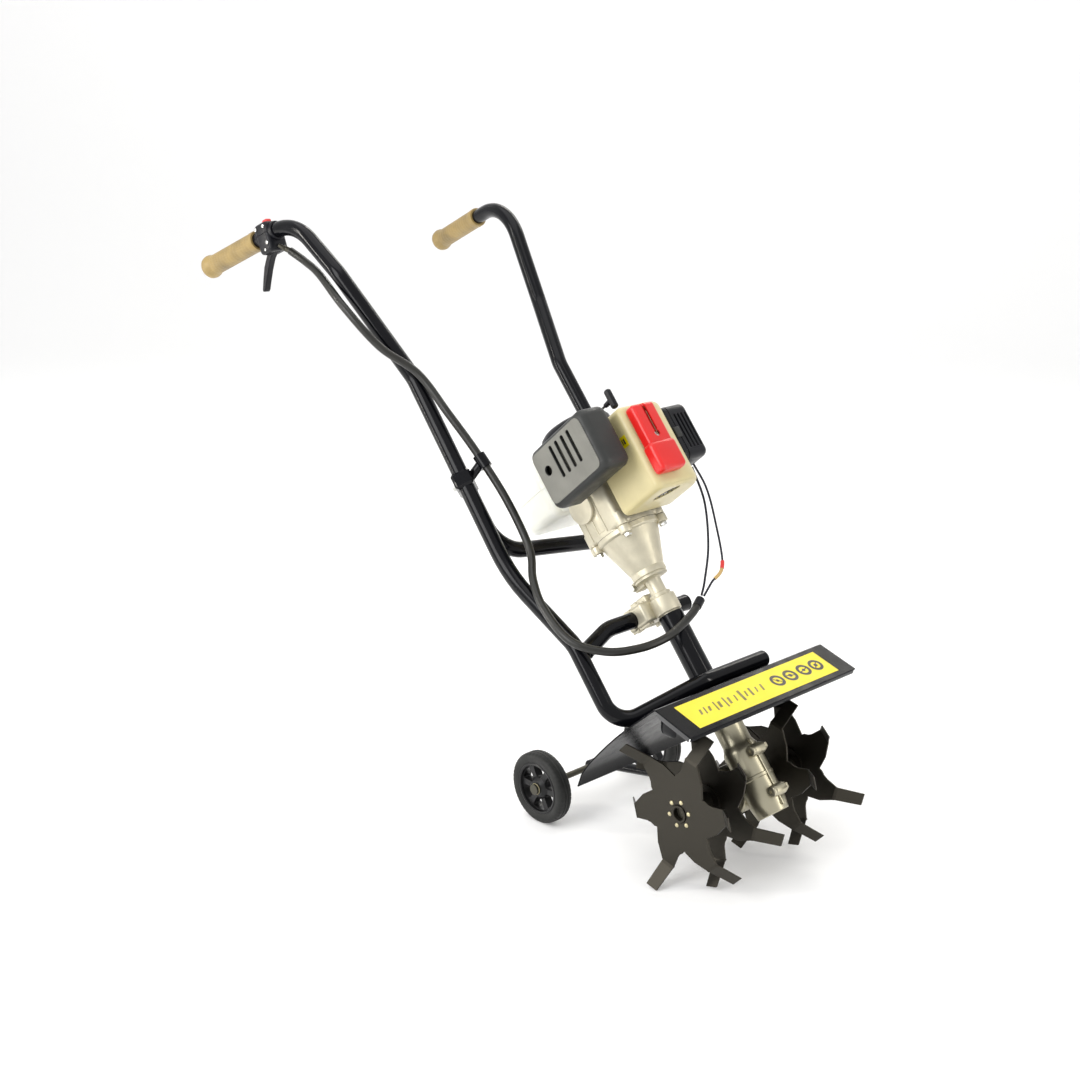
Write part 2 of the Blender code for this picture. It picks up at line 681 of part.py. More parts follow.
def build_tine_shaft():
    bore = TINE_SHAFT_R + GAP
    rod("tine_shaft", (TINE_X, -0.1180, TINE_Z), (TINE_X, 0.1180, TINE_Z), TINE_SHAFT_R, "dark_steel", None, 20)
    on_tine_axis("worm_wheel", ((0.0316, 0.0090), (0.0316, -0.0090), (bore, -0.0090), (bore, 0.0090)), "bronze", 36)
    out, inn, half = OUTER_Y, INNER_Y, PLATE_T / 2
    for side, name in ((-1, "hub_right"), (1, "hub_left")):
        profile = (
            (0.0132, out + half + 0.0020),
            (0.0132, out - half - GAP),
            (0.0250, out - half - GAP),
            (0.0250, out - half - 0.0035),
            (0.0150, out - half - 0.0035),
            (0.0150, inn + half + 0.0035),
            (0.0250, inn + half + 0.0035),
            (0.0250, inn + half + GAP),
            (0.0132, inn + half + GAP),
            (0.0132, 0.0280),
            (bore, 0.0280),
            (bore, out + half + 0.0020),
        )
        hub = on_tine_axis(name, profile, "tine_steel", 24, side)
        rivets = []
        for k in range(6):
            angle = radians(60 * k + 20)
            x, z = TINE_X + 0.0190 * cos(angle), TINE_Z + 0.0190 * sin(angle)
            inner, outer = out - half - 0.0020, out + half + 0.0025
            rivets.append(rod(f"join_{name}_{k}", (x, side * inner, z), (x, side * outer, z), 0.0034, None, None, 6, True))
        join(hub, *rivets)


def blade_points(phase):
    """A six-bladed star whose arms sweep forward; each arm ends square, where its tip is bent."""
    loop = []
    shape = ((0.0560, -0.60), (0.0720, -0.33), (FOLD_R, -0.085), (FOLD_R, 0.165), (0.0700, 0.240), (0.0600, 0.40))
    for k in range(BLADES):
        turn = phase + 2 * pi * k / BLADES
        loop += [(radius * cos(turn + angle), radius * sin(turn + angle)) for radius, angle in shape]
    return loop


def build_rotor(name, side, distance, phase, rivet_holes):
    """A cutting rotor: a flat star whose blade tips are bent out of its plane, in turn to each side."""
    y = side * distance
    loop = blade_points(phase)
    # the outline's X and Y become the world's X and Z
    rotor = outline(name, [loop, circle(0.0137, 20)], PLATE_T, "tine_steel", None, (TINE_X, y, TINE_Z), (90, 0, 0))
    tips = []
    rise = TINE_R - FOLD_R
    for k in range(BLADES):
        angle = phase + 2 * pi * k / BLADES + TIP_TURN
        way = 1 if k % 2 else -1
        out = Vector((cos(angle), 0, sin(angle)))
        wide = Vector((-sin(angle), 0, cos(angle)))
        length = (out * rise + Vector((0, way * TIP_OUT, 0))).normalized()
        reach = (rise * rise + TIP_OUT * TIP_OUT) ** 0.5 + 0.0020
        mesh = box_mesh(f"join_{name}_{k}", (reach, TIP_WIDE, PLATE_T))
        tip = add(f"join_{name}_{k}", mesh, None, None, cutter=True)
        axes = Matrix((length, wide, length.cross(wide))).transposed().to_4x4()
        end = Vector((TINE_X, y, TINE_Z)) + out * TINE_R + Vector((0, way * TIP_OUT, 0))
        tip.matrix_world = Matrix.Translation(end - length * (reach / 2)) @ axes
        tips.append(tip)
    join(rotor, *tips)
    if rivet_holes:
        holes = []
        for k in range(6):
            angle = radians(60 * k + 20)
            x, z = TINE_X + 0.0190 * cos(angle), TINE_Z + 0.0190 * sin(angle)
            holes.append(rod(f"cut_{name}_{k}", (x, y - 0.01, z), (x, y + 0.01, z), 0.0042, None, None, 6, True))
        cut(rotor, *holes)
    return rotor


# ---- fender, axle and wheels ----
def build_fender():
    """A bent sheet across the machine: front plate and rear flap, with a hole for the drive tube."""
    bm = bmesh.new()
    row = [bm.verts.new((x, -FENDER_HALF, z)) for x, z in FENDER_SIDE]
    edges = [bm.edges.new((a, b)) for a, b in zip(row, row[1:])]
    swept = bmesh.ops.extrude_edge_only(bm, edges=edges)
    moved = [v for v in swept["geom"] if isinstance(v, bmesh.types.BMVert)]
    bmesh.ops.translate(bm, vec=(0, 2 * FENDER_HALF, 0), verts=moved)
    bmesh.ops.recalc_face_normals(bm, faces=bm.faces)
    if sum(f.normal.z for f in bm.faces) < 0:
        bmesh.ops.reverse_faces(bm, faces=bm.faces)
    mesh = bpy.data.meshes.new("fender")
    bm.to_mesh(mesh)
    bm.free()
    fender = add("fender", mesh, "black_paint")
    thick = fender.modifiers.new("sheet", "SOLIDIFY")
    thick.thickness = FENDER_T
    thick.offset = 1.0
    hole = rod("cut_fender_tube", local(0, 0, -0.20), local(0, 0, -0.10), 0.0235, None, None, 28, True)
    tools = [hole]
    for name, y in (("right", -0.085), ("left", 0.085)):
        tools.append(rod(f"cut_fender_{name}", (FOOT_X, y, -0.19), (FOOT_X, y, -0.13), 0.0033, None, drive_frame, 12, True))
        top = FOOT_Z - HANDLE_R - GAP
        bolt = rod(f"fender_bolt_{name}", (FOOT_X, y, -0.1680), (FOOT_X, y, top), 0.0030, "bright_steel", drive_frame, 12)
        nut = rod(f"join_fender_nut_{name}", (FOOT_X, y, -0.1668), (FOOT_X, y, -0.1618), 0.0062, None, drive_frame, 6, True)
        join(bolt, nut)
    cut(fender, *tools)


def build_wheel(side, tag):
    y = side * WHEEL_Y
    half = WHEEL_W / 2
    seat = 0.0410
    turned(
        f"tyre_{tag}",
        (
            (WHEEL_R - 0.0060, half),
            (WHEEL_R - 0.0015, half - 0.0035),
            (WHEEL_R, half - 0.0080),
            (WHEEL_R, -half + 0.0080),
            (WHEEL_R - 0.0015, -half + 0.0035),
            (WHEEL_R - 0.0060, -half),
            (seat + GAP, -half + 0.0020),
            (seat + GAP, half - 0.0020),
        ),
        "rubber",
        None,
        (WHEEL_X, y, WHEEL_R),
        ON_Y,
        36,
        True,
    )
    loops = [circle(seat, 36)]
    for k in range(6):
        mid = 2 * pi * k / 6 + pi / 6
        inner = [(0.0170 * cos(mid + a), 0.0170 * sin(mid + a)) for a in (-0.28, 0, 0.28)]
        outer = [(0.0350 * cos(mid + a), 0.0350 * sin(mid + a)) for a in (0.40, 0.2, 0, -0.2, -0.40)]
        loops.append(inner + outer)
    loops.append(circle(AXLE_R + 0.0004, 20))
    outline(f"rim_{tag}", loops, WHEEL_W - 0.008, "black_plastic", None, (WHEEL_X, y, WHEEL_R), (90, 0, 0))


def build_axle():
    axle = rod("axle", (WHEEL_X, -0.1375, WHEEL_R), (WHEEL_X, 0.1375, WHEEL_R), AXLE_R, "dark_steel", None, 16)
    caps = []
    for k, side in enumerate((-1, 1)):
        edge = WHEEL_Y + WHEEL_W / 2
        low, high = side * (edge + GAP), side * (edge + 0.0045)
        caps.append(rod(f"join_cap_{k}", (WHEEL_X, low, WHEEL_R), (WHEEL_X, high, WHEEL_R), 0.0085, None, None, 16, True))
        stop = side * (WHEEL_Y - WHEEL_W / 2 - GAP)
        caps.append(rod(f"join_stop_{k}", (WHEEL_X, stop - side * 0.003, WHEEL_R), (WHEEL_X, stop, WHEEL_R), 0.0080, None, None, 16, True))
    join(axle, *caps)
    lug = local(SHAFT_X, 0, SHAFT_Z)
    start = Vector((WHEEL_X, 0, WHEEL_R))
    way = (lug - start).normalized()
    strut = rod("axle_strut", start, lug - way * 0.0300, 0.0075, "black_paint", None, 12)
    boss = rod("join_strut_boss", (WHEEL_X, -0.0200, WHEEL_R), (WHEEL_X, 0.0200, WHEEL_R), 0.0105, None, None, 20, True)
    foot = rod("join_strut_foot", lug + Vector((0, -0.0130, 0)), lug + Vector((0, 0.0130, 0)), DRUM_R + 0.0055, None, None, 28, True)
    clear = rod("cut_strut_drum", lug + Vector((0, -0.06, 0)), lug + Vector((0, 0.06, 0)), DRUM_R + GAP, None, None, 28, True)
    front = box("cut_strut_front", (-0.2, -0.1, -0.5), (0.2, 0.1, 0.2), None, drive_frame, cutter=True)
    front.location = (SHAFT_X - 0.0180 + 0.2, 0, SHAFT_Z)
    front.rotation_euler = (0, 0, 0)
    hole = rod("cut_strut_axle", (WHEEL_X, -0.05, WHEEL_R), (WHEEL_X, 0.05, WHEEL_R), AXLE_R + GAP, None, None, 16, True)
    join(strut, boss, foot)
    cut(strut, clear, front, hole)


# ---- engine ----
def shell(name, low, high, wall, mat, bevel, open_low=(0, 0, 0), open_high=(0, 0, 0)):
    """A box cover with one wall thickness, open where open_low or open_high is 1."""
    cover = box(name, low, high, mat, drive_frame, bevel, 2)
    inner_low = [a - 0.03 if o else a + wall for a, o in zip(low, open_low)]
    inner_high = [a + 0.03 if o else a - wall for a, o in zip(high, open_high)]
    inner_bevel = max(0.0005, bevel - 0.6 * wall)
    room = box(f"cut_room_{name}", inner_low, inner_high, None, drive_frame, inner_bevel, 2, True)
    return cut(cover, room)


def cover_loop(inset):
    """The cylinder cover seen down the drive line, pulled in by a wall; its room runs out at the low X side."""
    back = COVER_BACK if not inset else COVER_BACK - 0.03
    front, right, left = 0.1500 - inset, -0.0480 + inset, 0.0543 - inset
    near, far = 0.0120 - 0.6 * inset, 0.0400 - inset
    loop = [(back, left), (back, right)]
    loop += [(front - near + near * sin(radians(a)), right + near - near * cos(radians(a))) for a in (0, 30, 60, 90)]
    loop += [(front - far + far * cos(radians(a)), left - far + far * sin(radians(a))) for a in range(0, 91, 15)]
    return loop


def build_engine():
    case = box("crankcase", (-0.0420, -0.0480, CASE_BOTTOM), (0.0440, 0.0480, ENGINE_TOP), "cast_aluminium", drive_frame, 0.006, 2)
    bore = rod("cut_crank_bore", (0, 0, 0.10), (0, 0, 0.26), 0.0095, None, drive_frame, 20, True)
    bolt_ways = []
    for i, angle in enumerate((45, 135, 225, 315)):
        x, y = 0.0530 * cos(radians(angle)), 0.0530 * sin(radians(angle))
        bolt_ways.append(rod(f"cut_case_bolt_{i}", (x, y, 0.10), (x, y, 0.1400), 0.0028, None, drive_frame, 12, True))
    cut(case, bore, *bolt_ways)

    fins = []
    count = 9
    for i in range(count):
        x = 0.0560 + i * 0.0085
        fins += [(x, 0.0360), (x + 0.0030, 0.0360), (x + 0.0030, 0.0270), (x + 0.0085, 0.0270)]
    top = 0.1340
    left = [(0.0443, 0.0270), (0.0560, 0.0270)] + fins + [(top, 0.0270)]
    loop = left + [(x, -y) for x, y in reversed(left)]
    outline("cylinder", [loop], 0.0720, "cast_aluminium", drive_frame, (0, 0, 0.1780))

    low, high = COVER_Z
    cover = outline("cylinder_cover", [cover_loop(0)], high - low, "cream_plastic", drive_frame, (0, 0, (low + high) / 2))
    room = outline(
        "cut_cover_room",
        [cover_loop(COVER_WALL)],
        high - low - 2 * COVER_WALL,
        None,
        drive_frame,
        (0, 0, (low + high) / 2),
        cutter=True,
    )
    vent = rod("cut_cover_vent", (0.1180, -0.0100, 0.10), (0.1180, -0.0100, 0.13), 0.0140, None, drive_frame, 20, True)
    plug_hole = rod("cut_plug_hole", (0.13, -0.0200, 0.1900), (0.17, -0.0200, 0.1900), 0.0110, None, drive_frame, 20, True)
    intake = box("cut_intake", (0.0520, 0.0350, 0.1640), (0.1000, 0.0600, 0.2100), None, drive_frame, cutter=True)
    exhaust = box("cut_exhaust", (0.0600, -0.0560, 0.1830), (0.1070, -0.0400, 0.2120), None, drive_frame, cutter=True)
    cut(cover, room, plug_hole, intake, exhaust, vent)
    shell("plug_cover", (0.1503, -0.0470, 0.1400), (0.1730, 0.0040, 0.2480), 0.0025, "red_plastic", 0.006, (1, 0, 0))
    turned(
        "spark_plug",
        ((0, 0.0340), (0.0060, 0.0340), (0.0060, 0.0160), (0.0095, 0.0150), (0.0095, 0.0060), (0.0065, 0.0060), (0.0065, 0), (0, 0)),
        "bright_steel",
        drive_frame,
        (top + GAP, -0.0200, 0.1900),
        (0, 90, 0),
        16,
    )
    muffler = box("muffler", (0.0200, -0.1080, 0.1830), (0.1280, -0.0560, 0.2630), "dark_steel", drive_frame, 0.008, 2)
    stub = box("join_muffler_stub", (0.0620, -0.0600, 0.1850), (0.1050, -0.0363, 0.2100), None, drive_frame, cutter=True)
    join(muffler, stub)
    guard = shell("muffler_guard", (0.0030, -0.1160, 0.1745), (0.1440, -0.0610, 0.2715), 0.0025, "guard_grey", 0.012, (0, 0, 0), (0, 1, 0))
    slots = []
    for i in range(4):
        x = 0.0560 + i * 0.0155
        slots.append(box(f"cut_slot_{i}", (x, -0.14, 0.2080), (x + 0.0055, -0.112, 0.2560), None, drive_frame, cutter=True))
    slots.append(rod("cut_guard_hole", (0.0330, -0.14, 0.2300), (0.0330, -0.112, 0.2300), 0.0070, None, drive_frame, 20, True))
    cut(guard, *slots)

    box("carburettor", (0.0560, 0.0363, 0.1680), (0.0960, 0.0547, 0.2060), "cast_aluminium", drive_frame, 0.003)
    box("air_cleaner", (0.0250, 0.0550, 0.1650), (0.1220, 0.1130, 0.2550), "black_plastic", drive_frame, 0.010, 2)

    tank = box("fuel_tank", (-0.1640, -0.0420, 0.1950), (-0.0740, 0.0850, 0.2980), "tank_white", drive_frame, 0.014, 2)
    foot = box("join_tank_foot", (-0.0900, -0.0300, 0.1990), (-0.0425, 0.0700, 0.2310), None, drive_frame, 0.008, 1, True)
    neck = rod("join_tank_neck", (-0.1190, 0.0800, 0.2700), (-0.1190, 0.0900, 0.2700), 0.0140, None, drive_frame, 20, True)
    join(tank, foot, neck)
    turned(
        "fuel_cap",
        ((0, 0.0150), (0.0165, 0.0150), (0.0185, 0.0130), (0.0185, 0.0003), (0, 0.0003)),
        "black_plastic",
        drive_frame,
        (-0.1190, 0.0900, 0.2700),
        ON_Y,
        24,
    )
    turned(
        "starter_housing",
        (
            (0, 0.3070),
            (0.0400, 0.3070),
            (0.0530, 0.3010),
            (0.0580, 0.2900),
            (0.0580, ENGINE_TOP + GAP),
            (0.0550, ENGINE_TOP + GAP),
            (0.0550, 0.2890),
            (0.0400, 0.3025),
            (0, 0.3025),
        ),
        "black_plastic",
        drive_frame,
        steps=36,
    )
    grip = box("starter_grip", (0.0935, -0.0050, 0.2760), (0.1045, 0.0050, 0.3080), "black_plastic", drive_frame, 0.003, 2)
    rope = rod("join_starter_rope", (0.0585, 0, 0.2900), (0.0960, 0, 0.2900), 0.0018, None, drive_frame, 8, True)
    join(grip, rope)


build_handles()
build_grip("right_grip", RIGHT_GRIP_END, RIGHT_TOP)
build_grip("left_grip", LEFT_GRIP_END, LEFT_TOP)
build_controls()
build_handle_clamp(build_cables())
build_drive_line()
build_cross_clamp()
build_gearbox()
build_tine_shaft()
build_rotor("rotor_right_outer", -1, OUTER_Y, radians(-104.6), True)
build_rotor("rotor_right_inner", -1, INNER_Y, radians(-75.4), False)
build_rotor("rotor_left_inner", 1, INNER_Y, radians(-104.6), False)
build_rotor("rotor_left_outer", 1, OUTER_Y, radians(-75.4), True)
build_fender()
build_wheel(-1, "right")
build_wheel(1, "left")
build_axle()
build_engine()
bpy.context.view_layer.update()
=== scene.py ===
"""Mini tiller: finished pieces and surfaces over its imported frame.

Metres, +X forward, +Y the machine's left, +Z up. Everything on the leaning drive line is drawn
in the drive frame: its Z runs up the drive line, its X points forward and up.
"""

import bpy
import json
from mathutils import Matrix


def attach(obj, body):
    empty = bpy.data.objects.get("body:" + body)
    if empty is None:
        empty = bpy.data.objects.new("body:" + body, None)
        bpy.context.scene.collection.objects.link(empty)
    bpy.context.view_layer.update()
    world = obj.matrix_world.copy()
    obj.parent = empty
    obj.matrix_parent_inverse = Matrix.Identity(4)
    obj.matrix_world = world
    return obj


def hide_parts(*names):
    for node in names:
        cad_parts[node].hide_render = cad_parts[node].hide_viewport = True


bl_info = {
    "name": "Mini Tiller",
    "version": (1, 0, 0),
    "blender": (4, 5, 0),
    "location": "3D View > Sidebar > Tiller",
    "description": "Builds a walk-behind mini tiller, piece by piece",
    "category": "Object",
}

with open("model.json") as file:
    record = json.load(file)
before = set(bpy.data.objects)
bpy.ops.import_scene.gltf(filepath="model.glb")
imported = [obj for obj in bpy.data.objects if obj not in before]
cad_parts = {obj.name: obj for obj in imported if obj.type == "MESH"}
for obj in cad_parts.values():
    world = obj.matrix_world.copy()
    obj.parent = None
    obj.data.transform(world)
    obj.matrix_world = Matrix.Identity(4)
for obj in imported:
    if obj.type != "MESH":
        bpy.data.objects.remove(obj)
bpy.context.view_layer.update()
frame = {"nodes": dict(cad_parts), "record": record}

import json
from math import atan2, cos, pi, radians, sin

import bmesh
import bpy
from bpy.props import FloatProperty, FloatVectorProperty, IntProperty, PointerProperty
from mathutils import Matrix, Vector

LEAN = 40.65
DRIVE = Matrix.Translation((0.271, 0.0, 0.369)) @ Matrix.Rotation(-radians(LEAN), 4, "Y")
WORLD = Matrix.Identity(4)
CHASSIS = "chassis"
MERGE = 0.000002  # vertices nearer than this are one
BOLT_RING = 0.053  # radius of the four bolts that join the bell and the crankcase
SLOTS = {part["node"]: part["material_slot"] for part in frame["record"]["subparts"]}
BODY_OF = {
    node: body for body, nodes in frame["record"]["behaviour"]["bodies"].items() for node in nodes
}

# ---- finishes: linear colour, how much it clouds, roughness, its spread, grain, bump and extras ----
FINISHES = {
    "gloss_black_enamel": ((0.0028, 0.003, 0.0042), 0.25, 0.15, 0.05, 260, 0.05, dict(gloss=0.2)),
    "fender_enamel": ((0.0028, 0.003, 0.0042), 0.25, 0.2, 0.05, 260, 0.05, dict(gloss=0.07)),
    # the fender's side lips: the black enamel painted lighter, as a painted highlight along their edges
    "lip_enamel_painted_highlight": ((0.01, 0.0105, 0.012), 0.2, 0.2, 0.05, 260, 0.05, dict(gloss=0.9)),
    "black_moulding": ((0.0052, 0.0054, 0.008), 0.2, 0.36, 0.08, 900, 0.22, dict(gloss=0.26)),
    "guard_moulding": ((0.024, 0.025, 0.024), 0.15, 0.46, 0.08, 800, 0.3, dict(gloss=0.35)),
    # the guard's near face: the guard's grey painted lighter, as painted light where the lamps fall on that side
    "guard_face_painted_light": ((0.15, 0.148, 0.13), 0.12, 0.5, 0.08, 650, 0.5, dict(gloss=0.35)),
    "cream_moulding": ((0.56, 0.485, 0.255), 0.06, 0.36, 0.06, 700, 0.1, dict(coat=0.12)),
    "tank_moulding": ((0.9, 0.9, 0.82), 0.05, 0.34, 0.05, 120, 0.08, dict(soft=0.35)),
    "red_moulding": ((0.62, 0.012, 0.01), 0.06, 0.33, 0.05, 700, 0.08, dict(coat=0.08)),
    "grip_rubber": ((0.255, 0.176, 0.056), 0.3, 0.46, 0.1, 900, 0.6, dict(sheen=0.08)),
    "die_cast": ((0.57, 0.53, 0.41), 0.16, 0.42, 0.1, 420, 0.45, dict(metal=0.55)),
    "gearbox_cast": ((0.4, 0.375, 0.265), 0.25, 0.4, 0.12, 380, 0.5, dict(metal=0.6)),
    "zinc_plate": ((0.66, 0.66, 0.63), 0.1, 0.26, 0.08, 600, 0.06, dict(metal=1.0)),
    "dark_steel": ((0.07, 0.066, 0.055), 0.2, 0.4, 0.1, 300, 0.12, dict(metal=0.9)),
    # its edges are painted lighter: partly wear, partly a painted highlight on the blade edges
    "tine_steel": ((0.0135, 0.012, 0.008), 0.4, 0.42, 0.12, 240, 0.4, dict(gloss=0.35, edge_wear_and_highlight=(0.26, 0.23, 0.16))),
    "tyre_rubber": ((0.0085, 0.0088, 0.008), 0.25, 0.55, 0.1, 700, 0.4, dict(gloss=0.35)),
    "rim_moulding": ((0.0055, 0.0055, 0.006), 0.2, 0.34, 0.08, 600, 0.2, dict(gloss=0.3)),
    "sheath_vinyl": ((0.0125, 0.0122, 0.01), 0.18, 0.34, 0.08, 500, 0.15, dict(gloss=0.42)),
    "wire_vinyl": ((0.0065, 0.0075, 0.018), 0.1, 0.35, 0.05, 400, 0.05, dict(gloss=0.35)),
    "rivet_steel": ((0.56, 0.5, 0.31), 0.2, 0.38, 0.1, 500, 0.1, dict(metal=0.6)),
    "bronze": ((0.5, 0.33, 0.14), 0.15, 0.35, 0.1, 300, 0.1, dict(metal=1.0)),
    "label_film": ((0.76, 0.62, 0.004), 0.03, 0.34, 0.04, 150, 0.03, dict(gloss=0.3)),
    "label_print": ((0.16, 0.135, 0.02), 0.3, 0.4, 0.05, 300, 0.03, {}),
    "label_ink": ((0.03, 0.028, 0.022), 0.1, 0.4, 0.05, 300, 0.03, {}),
    "connector_tan": ((0.5, 0.33, 0.12), 0.08, 0.4, 0.05, 400, 0.05, {}),
    "connector_red": ((0.62, 0.03, 0.028), 0.08, 0.4, 0.05, 400, 0.05, {}),
    "filter_foam": ((0.03, 0.03, 0.033), 0.3, 0.8, 0.05, 900, 0.6, {}),
}
CARRIED = {  # record slot to finish, for the pieces kept from the frame
    "black_paint": "gloss_black_enamel",
    "black_plastic": "black_moulding",
    "guard_grey": "guard_moulding",
    "cream_plastic": "cream_moulding",
    "tank_white": "tank_moulding",
    "red_plastic": "red_moulding",
    "grip_tan": "grip_rubber",
    "cast_aluminium": "die_cast",
    "gearbox_cast": "gearbox_cast",
    "bright_steel": "zinc_plate",
    "dark_steel": "dark_steel",
    "tine_steel": "tine_steel",
    "rubber": "sheath_vinyl",
    "bronze": "bronze",
}


def finish(name):
    """The procedural material of one finish: clouded colour, uneven gloss, fine grain and edges painted lighter,
    partly as wear and partly as a painted highlight.
    """
    found = bpy.data.materials.get(name)
    if found:
        return found
    base, vary, rough, gap, grain, relief, extra = FINISHES[name]
    made = bpy.data.materials.new(name)
    made.use_nodes = True
    nodes, links = made.node_tree.nodes, made.node_tree.links
    shader = nodes["Principled BSDF"]
    shader.inputs["Metallic"].default_value = extra.get("metal", 0.0)
    shader.inputs["Coat Weight"].default_value = extra.get("coat", 0.0)
    shader.inputs["Coat Roughness"].default_value = 0.08
    shader.inputs["Specular IOR Level"].default_value = extra.get("gloss", 0.5)
    if "sheen" in extra:
        shader.inputs["Sheen Weight"].default_value = extra["sheen"]
    if "soft" in extra:
        shader.inputs["Subsurface Weight"].default_value = extra["soft"]
        shader.inputs["Subsurface Radius"].default_value = (0.02, 0.019, 0.016)
    place = nodes.new("ShaderNodeTexCoord")

    def noise(scale, detail):
        made_noise = nodes.new("ShaderNodeTexNoise")
        made_noise.inputs["Scale"].default_value = scale
        made_noise.inputs["Detail"].default_value = detail
        links.new(place.outputs["Object"], made_noise.inputs["Vector"])
        return made_noise.outputs["Fac"]

    def spread(value, low, high, to_low, to_high):
        made_range = nodes.new("ShaderNodeMapRange")
        for socket, number in zip(made_range.inputs[1:5], (low, high, to_low, to_high)):
            socket.default_value = number
        links.new(value, made_range.inputs[0])
        return made_range.outputs[0]

    def blend(factor, first, second):
        mix = nodes.new("ShaderNodeMix")
        mix.data_type = "RGBA"
        links.new(factor, mix.inputs[0])
        for socket, value in ((mix.inputs[6], first), (mix.inputs[7], second)):
            if hasattr(value, "is_linked"):
                links.new(value, socket)
            else:
                socket.default_value = (*value, 1.0)
        return mix.outputs[2]

    dark = tuple(c * (1 - vary) for c in base)
    light = tuple(min(1.0, c * (1 + vary)) for c in base)
    color = blend(spread(noise(28, 6), 0.3, 0.7, 0, 1), dark, light)
    # edges lightened by pointiness: partly wear, partly a painted highlight along the edges
    if "edge_wear_and_highlight" in extra:
        shape = nodes.new("ShaderNodeNewGeometry")
        edge = spread(shape.outputs["Pointiness"], 0.53, 0.6, 0, 1)
        wear_and_highlight_mask = nodes.new("ShaderNodeMath")
        wear_and_highlight_mask.operation = "MULTIPLY"
        links.new(edge, wear_and_highlight_mask.inputs[0])
        links.new(spread(noise(90, 4), 0.42, 0.62, 0, 0.8), wear_and_highlight_mask.inputs[1])
        color = blend(wear_and_highlight_mask.outputs[0], color, extra["edge_wear_and_highlight"])
    links.new(color, shader.inputs["Base Color"])
    links.new(spread(noise(55, 5), 0.3, 0.7, rough - gap, rough + gap), shader.inputs["Roughness"])
    bump = nodes.new("ShaderNodeBump")
    bump.inputs["Strength"].default_value = relief
    bump.inputs["Distance"].default_value = 0.0004
    links.new(noise(grain, 3), bump.inputs["Height"])
    links.new(bump.outputs["Normal"], shader.inputs["Normal"])
    made.diffuse_color = (*base, 1.0)
    return made


# ---- places ----
def placed(point, degrees=0.0, axis="X"):
    """A place turned about one axis."""
    return Matrix.Translation(point) @ Matrix.Rotation(radians(degrees), 4, axis)


def turned_to(way, rest=(0, 0, 1)):
    """The turn that takes a resting direction to another."""
    return Vector(rest).rotation_difference(way).to_matrix().to_4x4()


def ring_of(count, radius, first=0.0):
    """Points evenly round the origin, the first at an angle in degrees."""
    angles = [radians(first + 360 * k / count) for k in range(count)]
    return [(radius * cos(angle), radius * sin(angle)) for angle in angles]


# ---- shapes, each a bmesh ----
def bevelled(bm, edges, offset, segments):
    """The shape with the given edges rounded."""
    bmesh.ops.bevel(bm, geom=edges, offset=offset, segments=segments, profile=0.5, affect="EDGES", material=-1)
    return bm


def edges_along(bm, axis, least):
    """The edges that run more than so far along an axis."""
    return [e for e in bm.edges if abs(e.verts[0].co[axis] - e.verts[1].co[axis]) > least]


def rounded(low, high, radius=0.0, segments=4):
    """A block between two corners, with rounded edges."""
    low, high = Vector(low), Vector(high)
    bm = bmesh.new()
    bmesh.ops.create_cube(bm, size=1.0)
    bmesh.ops.scale(bm, vec=high - low, verts=bm.verts)
    bmesh.ops.translate(bm, vec=(low + high) / 2, verts=bm.verts)
    return bevelled(bm, bm.edges[:], radius, segments) if radius else bm


def rod(start, end, radius, sides=40, top=None, edge=0.0):
    """A round bar or a cone between two points; edge rounds its rims."""
    start, end = Vector(start), Vector(end)
    way = end - start
    bm = bmesh.new()
    bmesh.ops.create_cone(bm, cap_ends=True, segments=sides, radius1=radius,
                          radius2=radius if top is None else top, depth=way.length,
                          matrix=Matrix.Translation((start + end) / 2) @ turned_to(way))
    if edge:
        bevelled(bm, [e for e in bm.edges if any(len(f.verts) > 4 for f in e.link_faces)], edge, 3)
    return bm


def cross_rod(x, z, half, radius, sides=40, edge=0.0):
    """A round bar along Y, centred on the machine's middle plane."""
    return rod((x, -half, z), (x, half, z), radius, sides, edge=edge)


def post(x, y, low, high, radius, sides, edge=0.0):
    """A round bar along Z."""
    return rod((x, y, low), (x, y, high), radius, sides, edge=edge)


def lathe(profile, steps=64, ring=False):
    """A turned shape on Z; a ring's profile closes on itself."""
    bm = bmesh.new()
    verts = [bm.verts.new((r, 0, z)) for r, z in profile]
    edges = [bm.edges.new(pair) for pair in zip(verts, verts[1:])]
    if ring:
        edges.append(bm.edges.new((verts[-1], verts[0])))
    bmesh.ops.spin(bm, geom=verts + edges, axis=(0, 0, 1), cent=(0, 0, 0), angle=2 * pi, steps=steps,
                   use_merge=True)
    bmesh.ops.remove_doubles(bm, verts=bm.verts, dist=MERGE)
    return bm


def washer(bore, flat, rim, half):
    """A flat ring with a pointed rim."""
    return lathe(((bore, half), (flat, half), (rim, 0), (flat, -half), (bore, -half)), 40, True)


def fluted(bm, depth):
    """The shape with each vertex pulled toward Z by the share that depth gives for its place."""
    for vert in bm.verts:
        share = 1 - depth(*vert.co)
        vert.co.x *= share
        vert.co.y *= share
    return bm


def plate(loop, thickness, low=None):
    """A flat sheet from an outline in XY, centred on z = 0 unless its low side is given."""
    bm = bmesh.new()
    low = -thickness / 2 if low is None else low
    face = bm.faces.new([bm.verts.new((x, y, low)) for x, y in loop])
    drawn_out(bm, bmesh.ops.extrude_face_region(bm, geom=[face]), (0, 0, thickness))
    return bm


def drawn_out(bm, extruded, way):
    """Move the vertices that an extrusion made."""
    bmesh.ops.translate(bm, vec=way, verts=[v for v in extruded["geom"] if isinstance(v, bmesh.types.BMVert)])


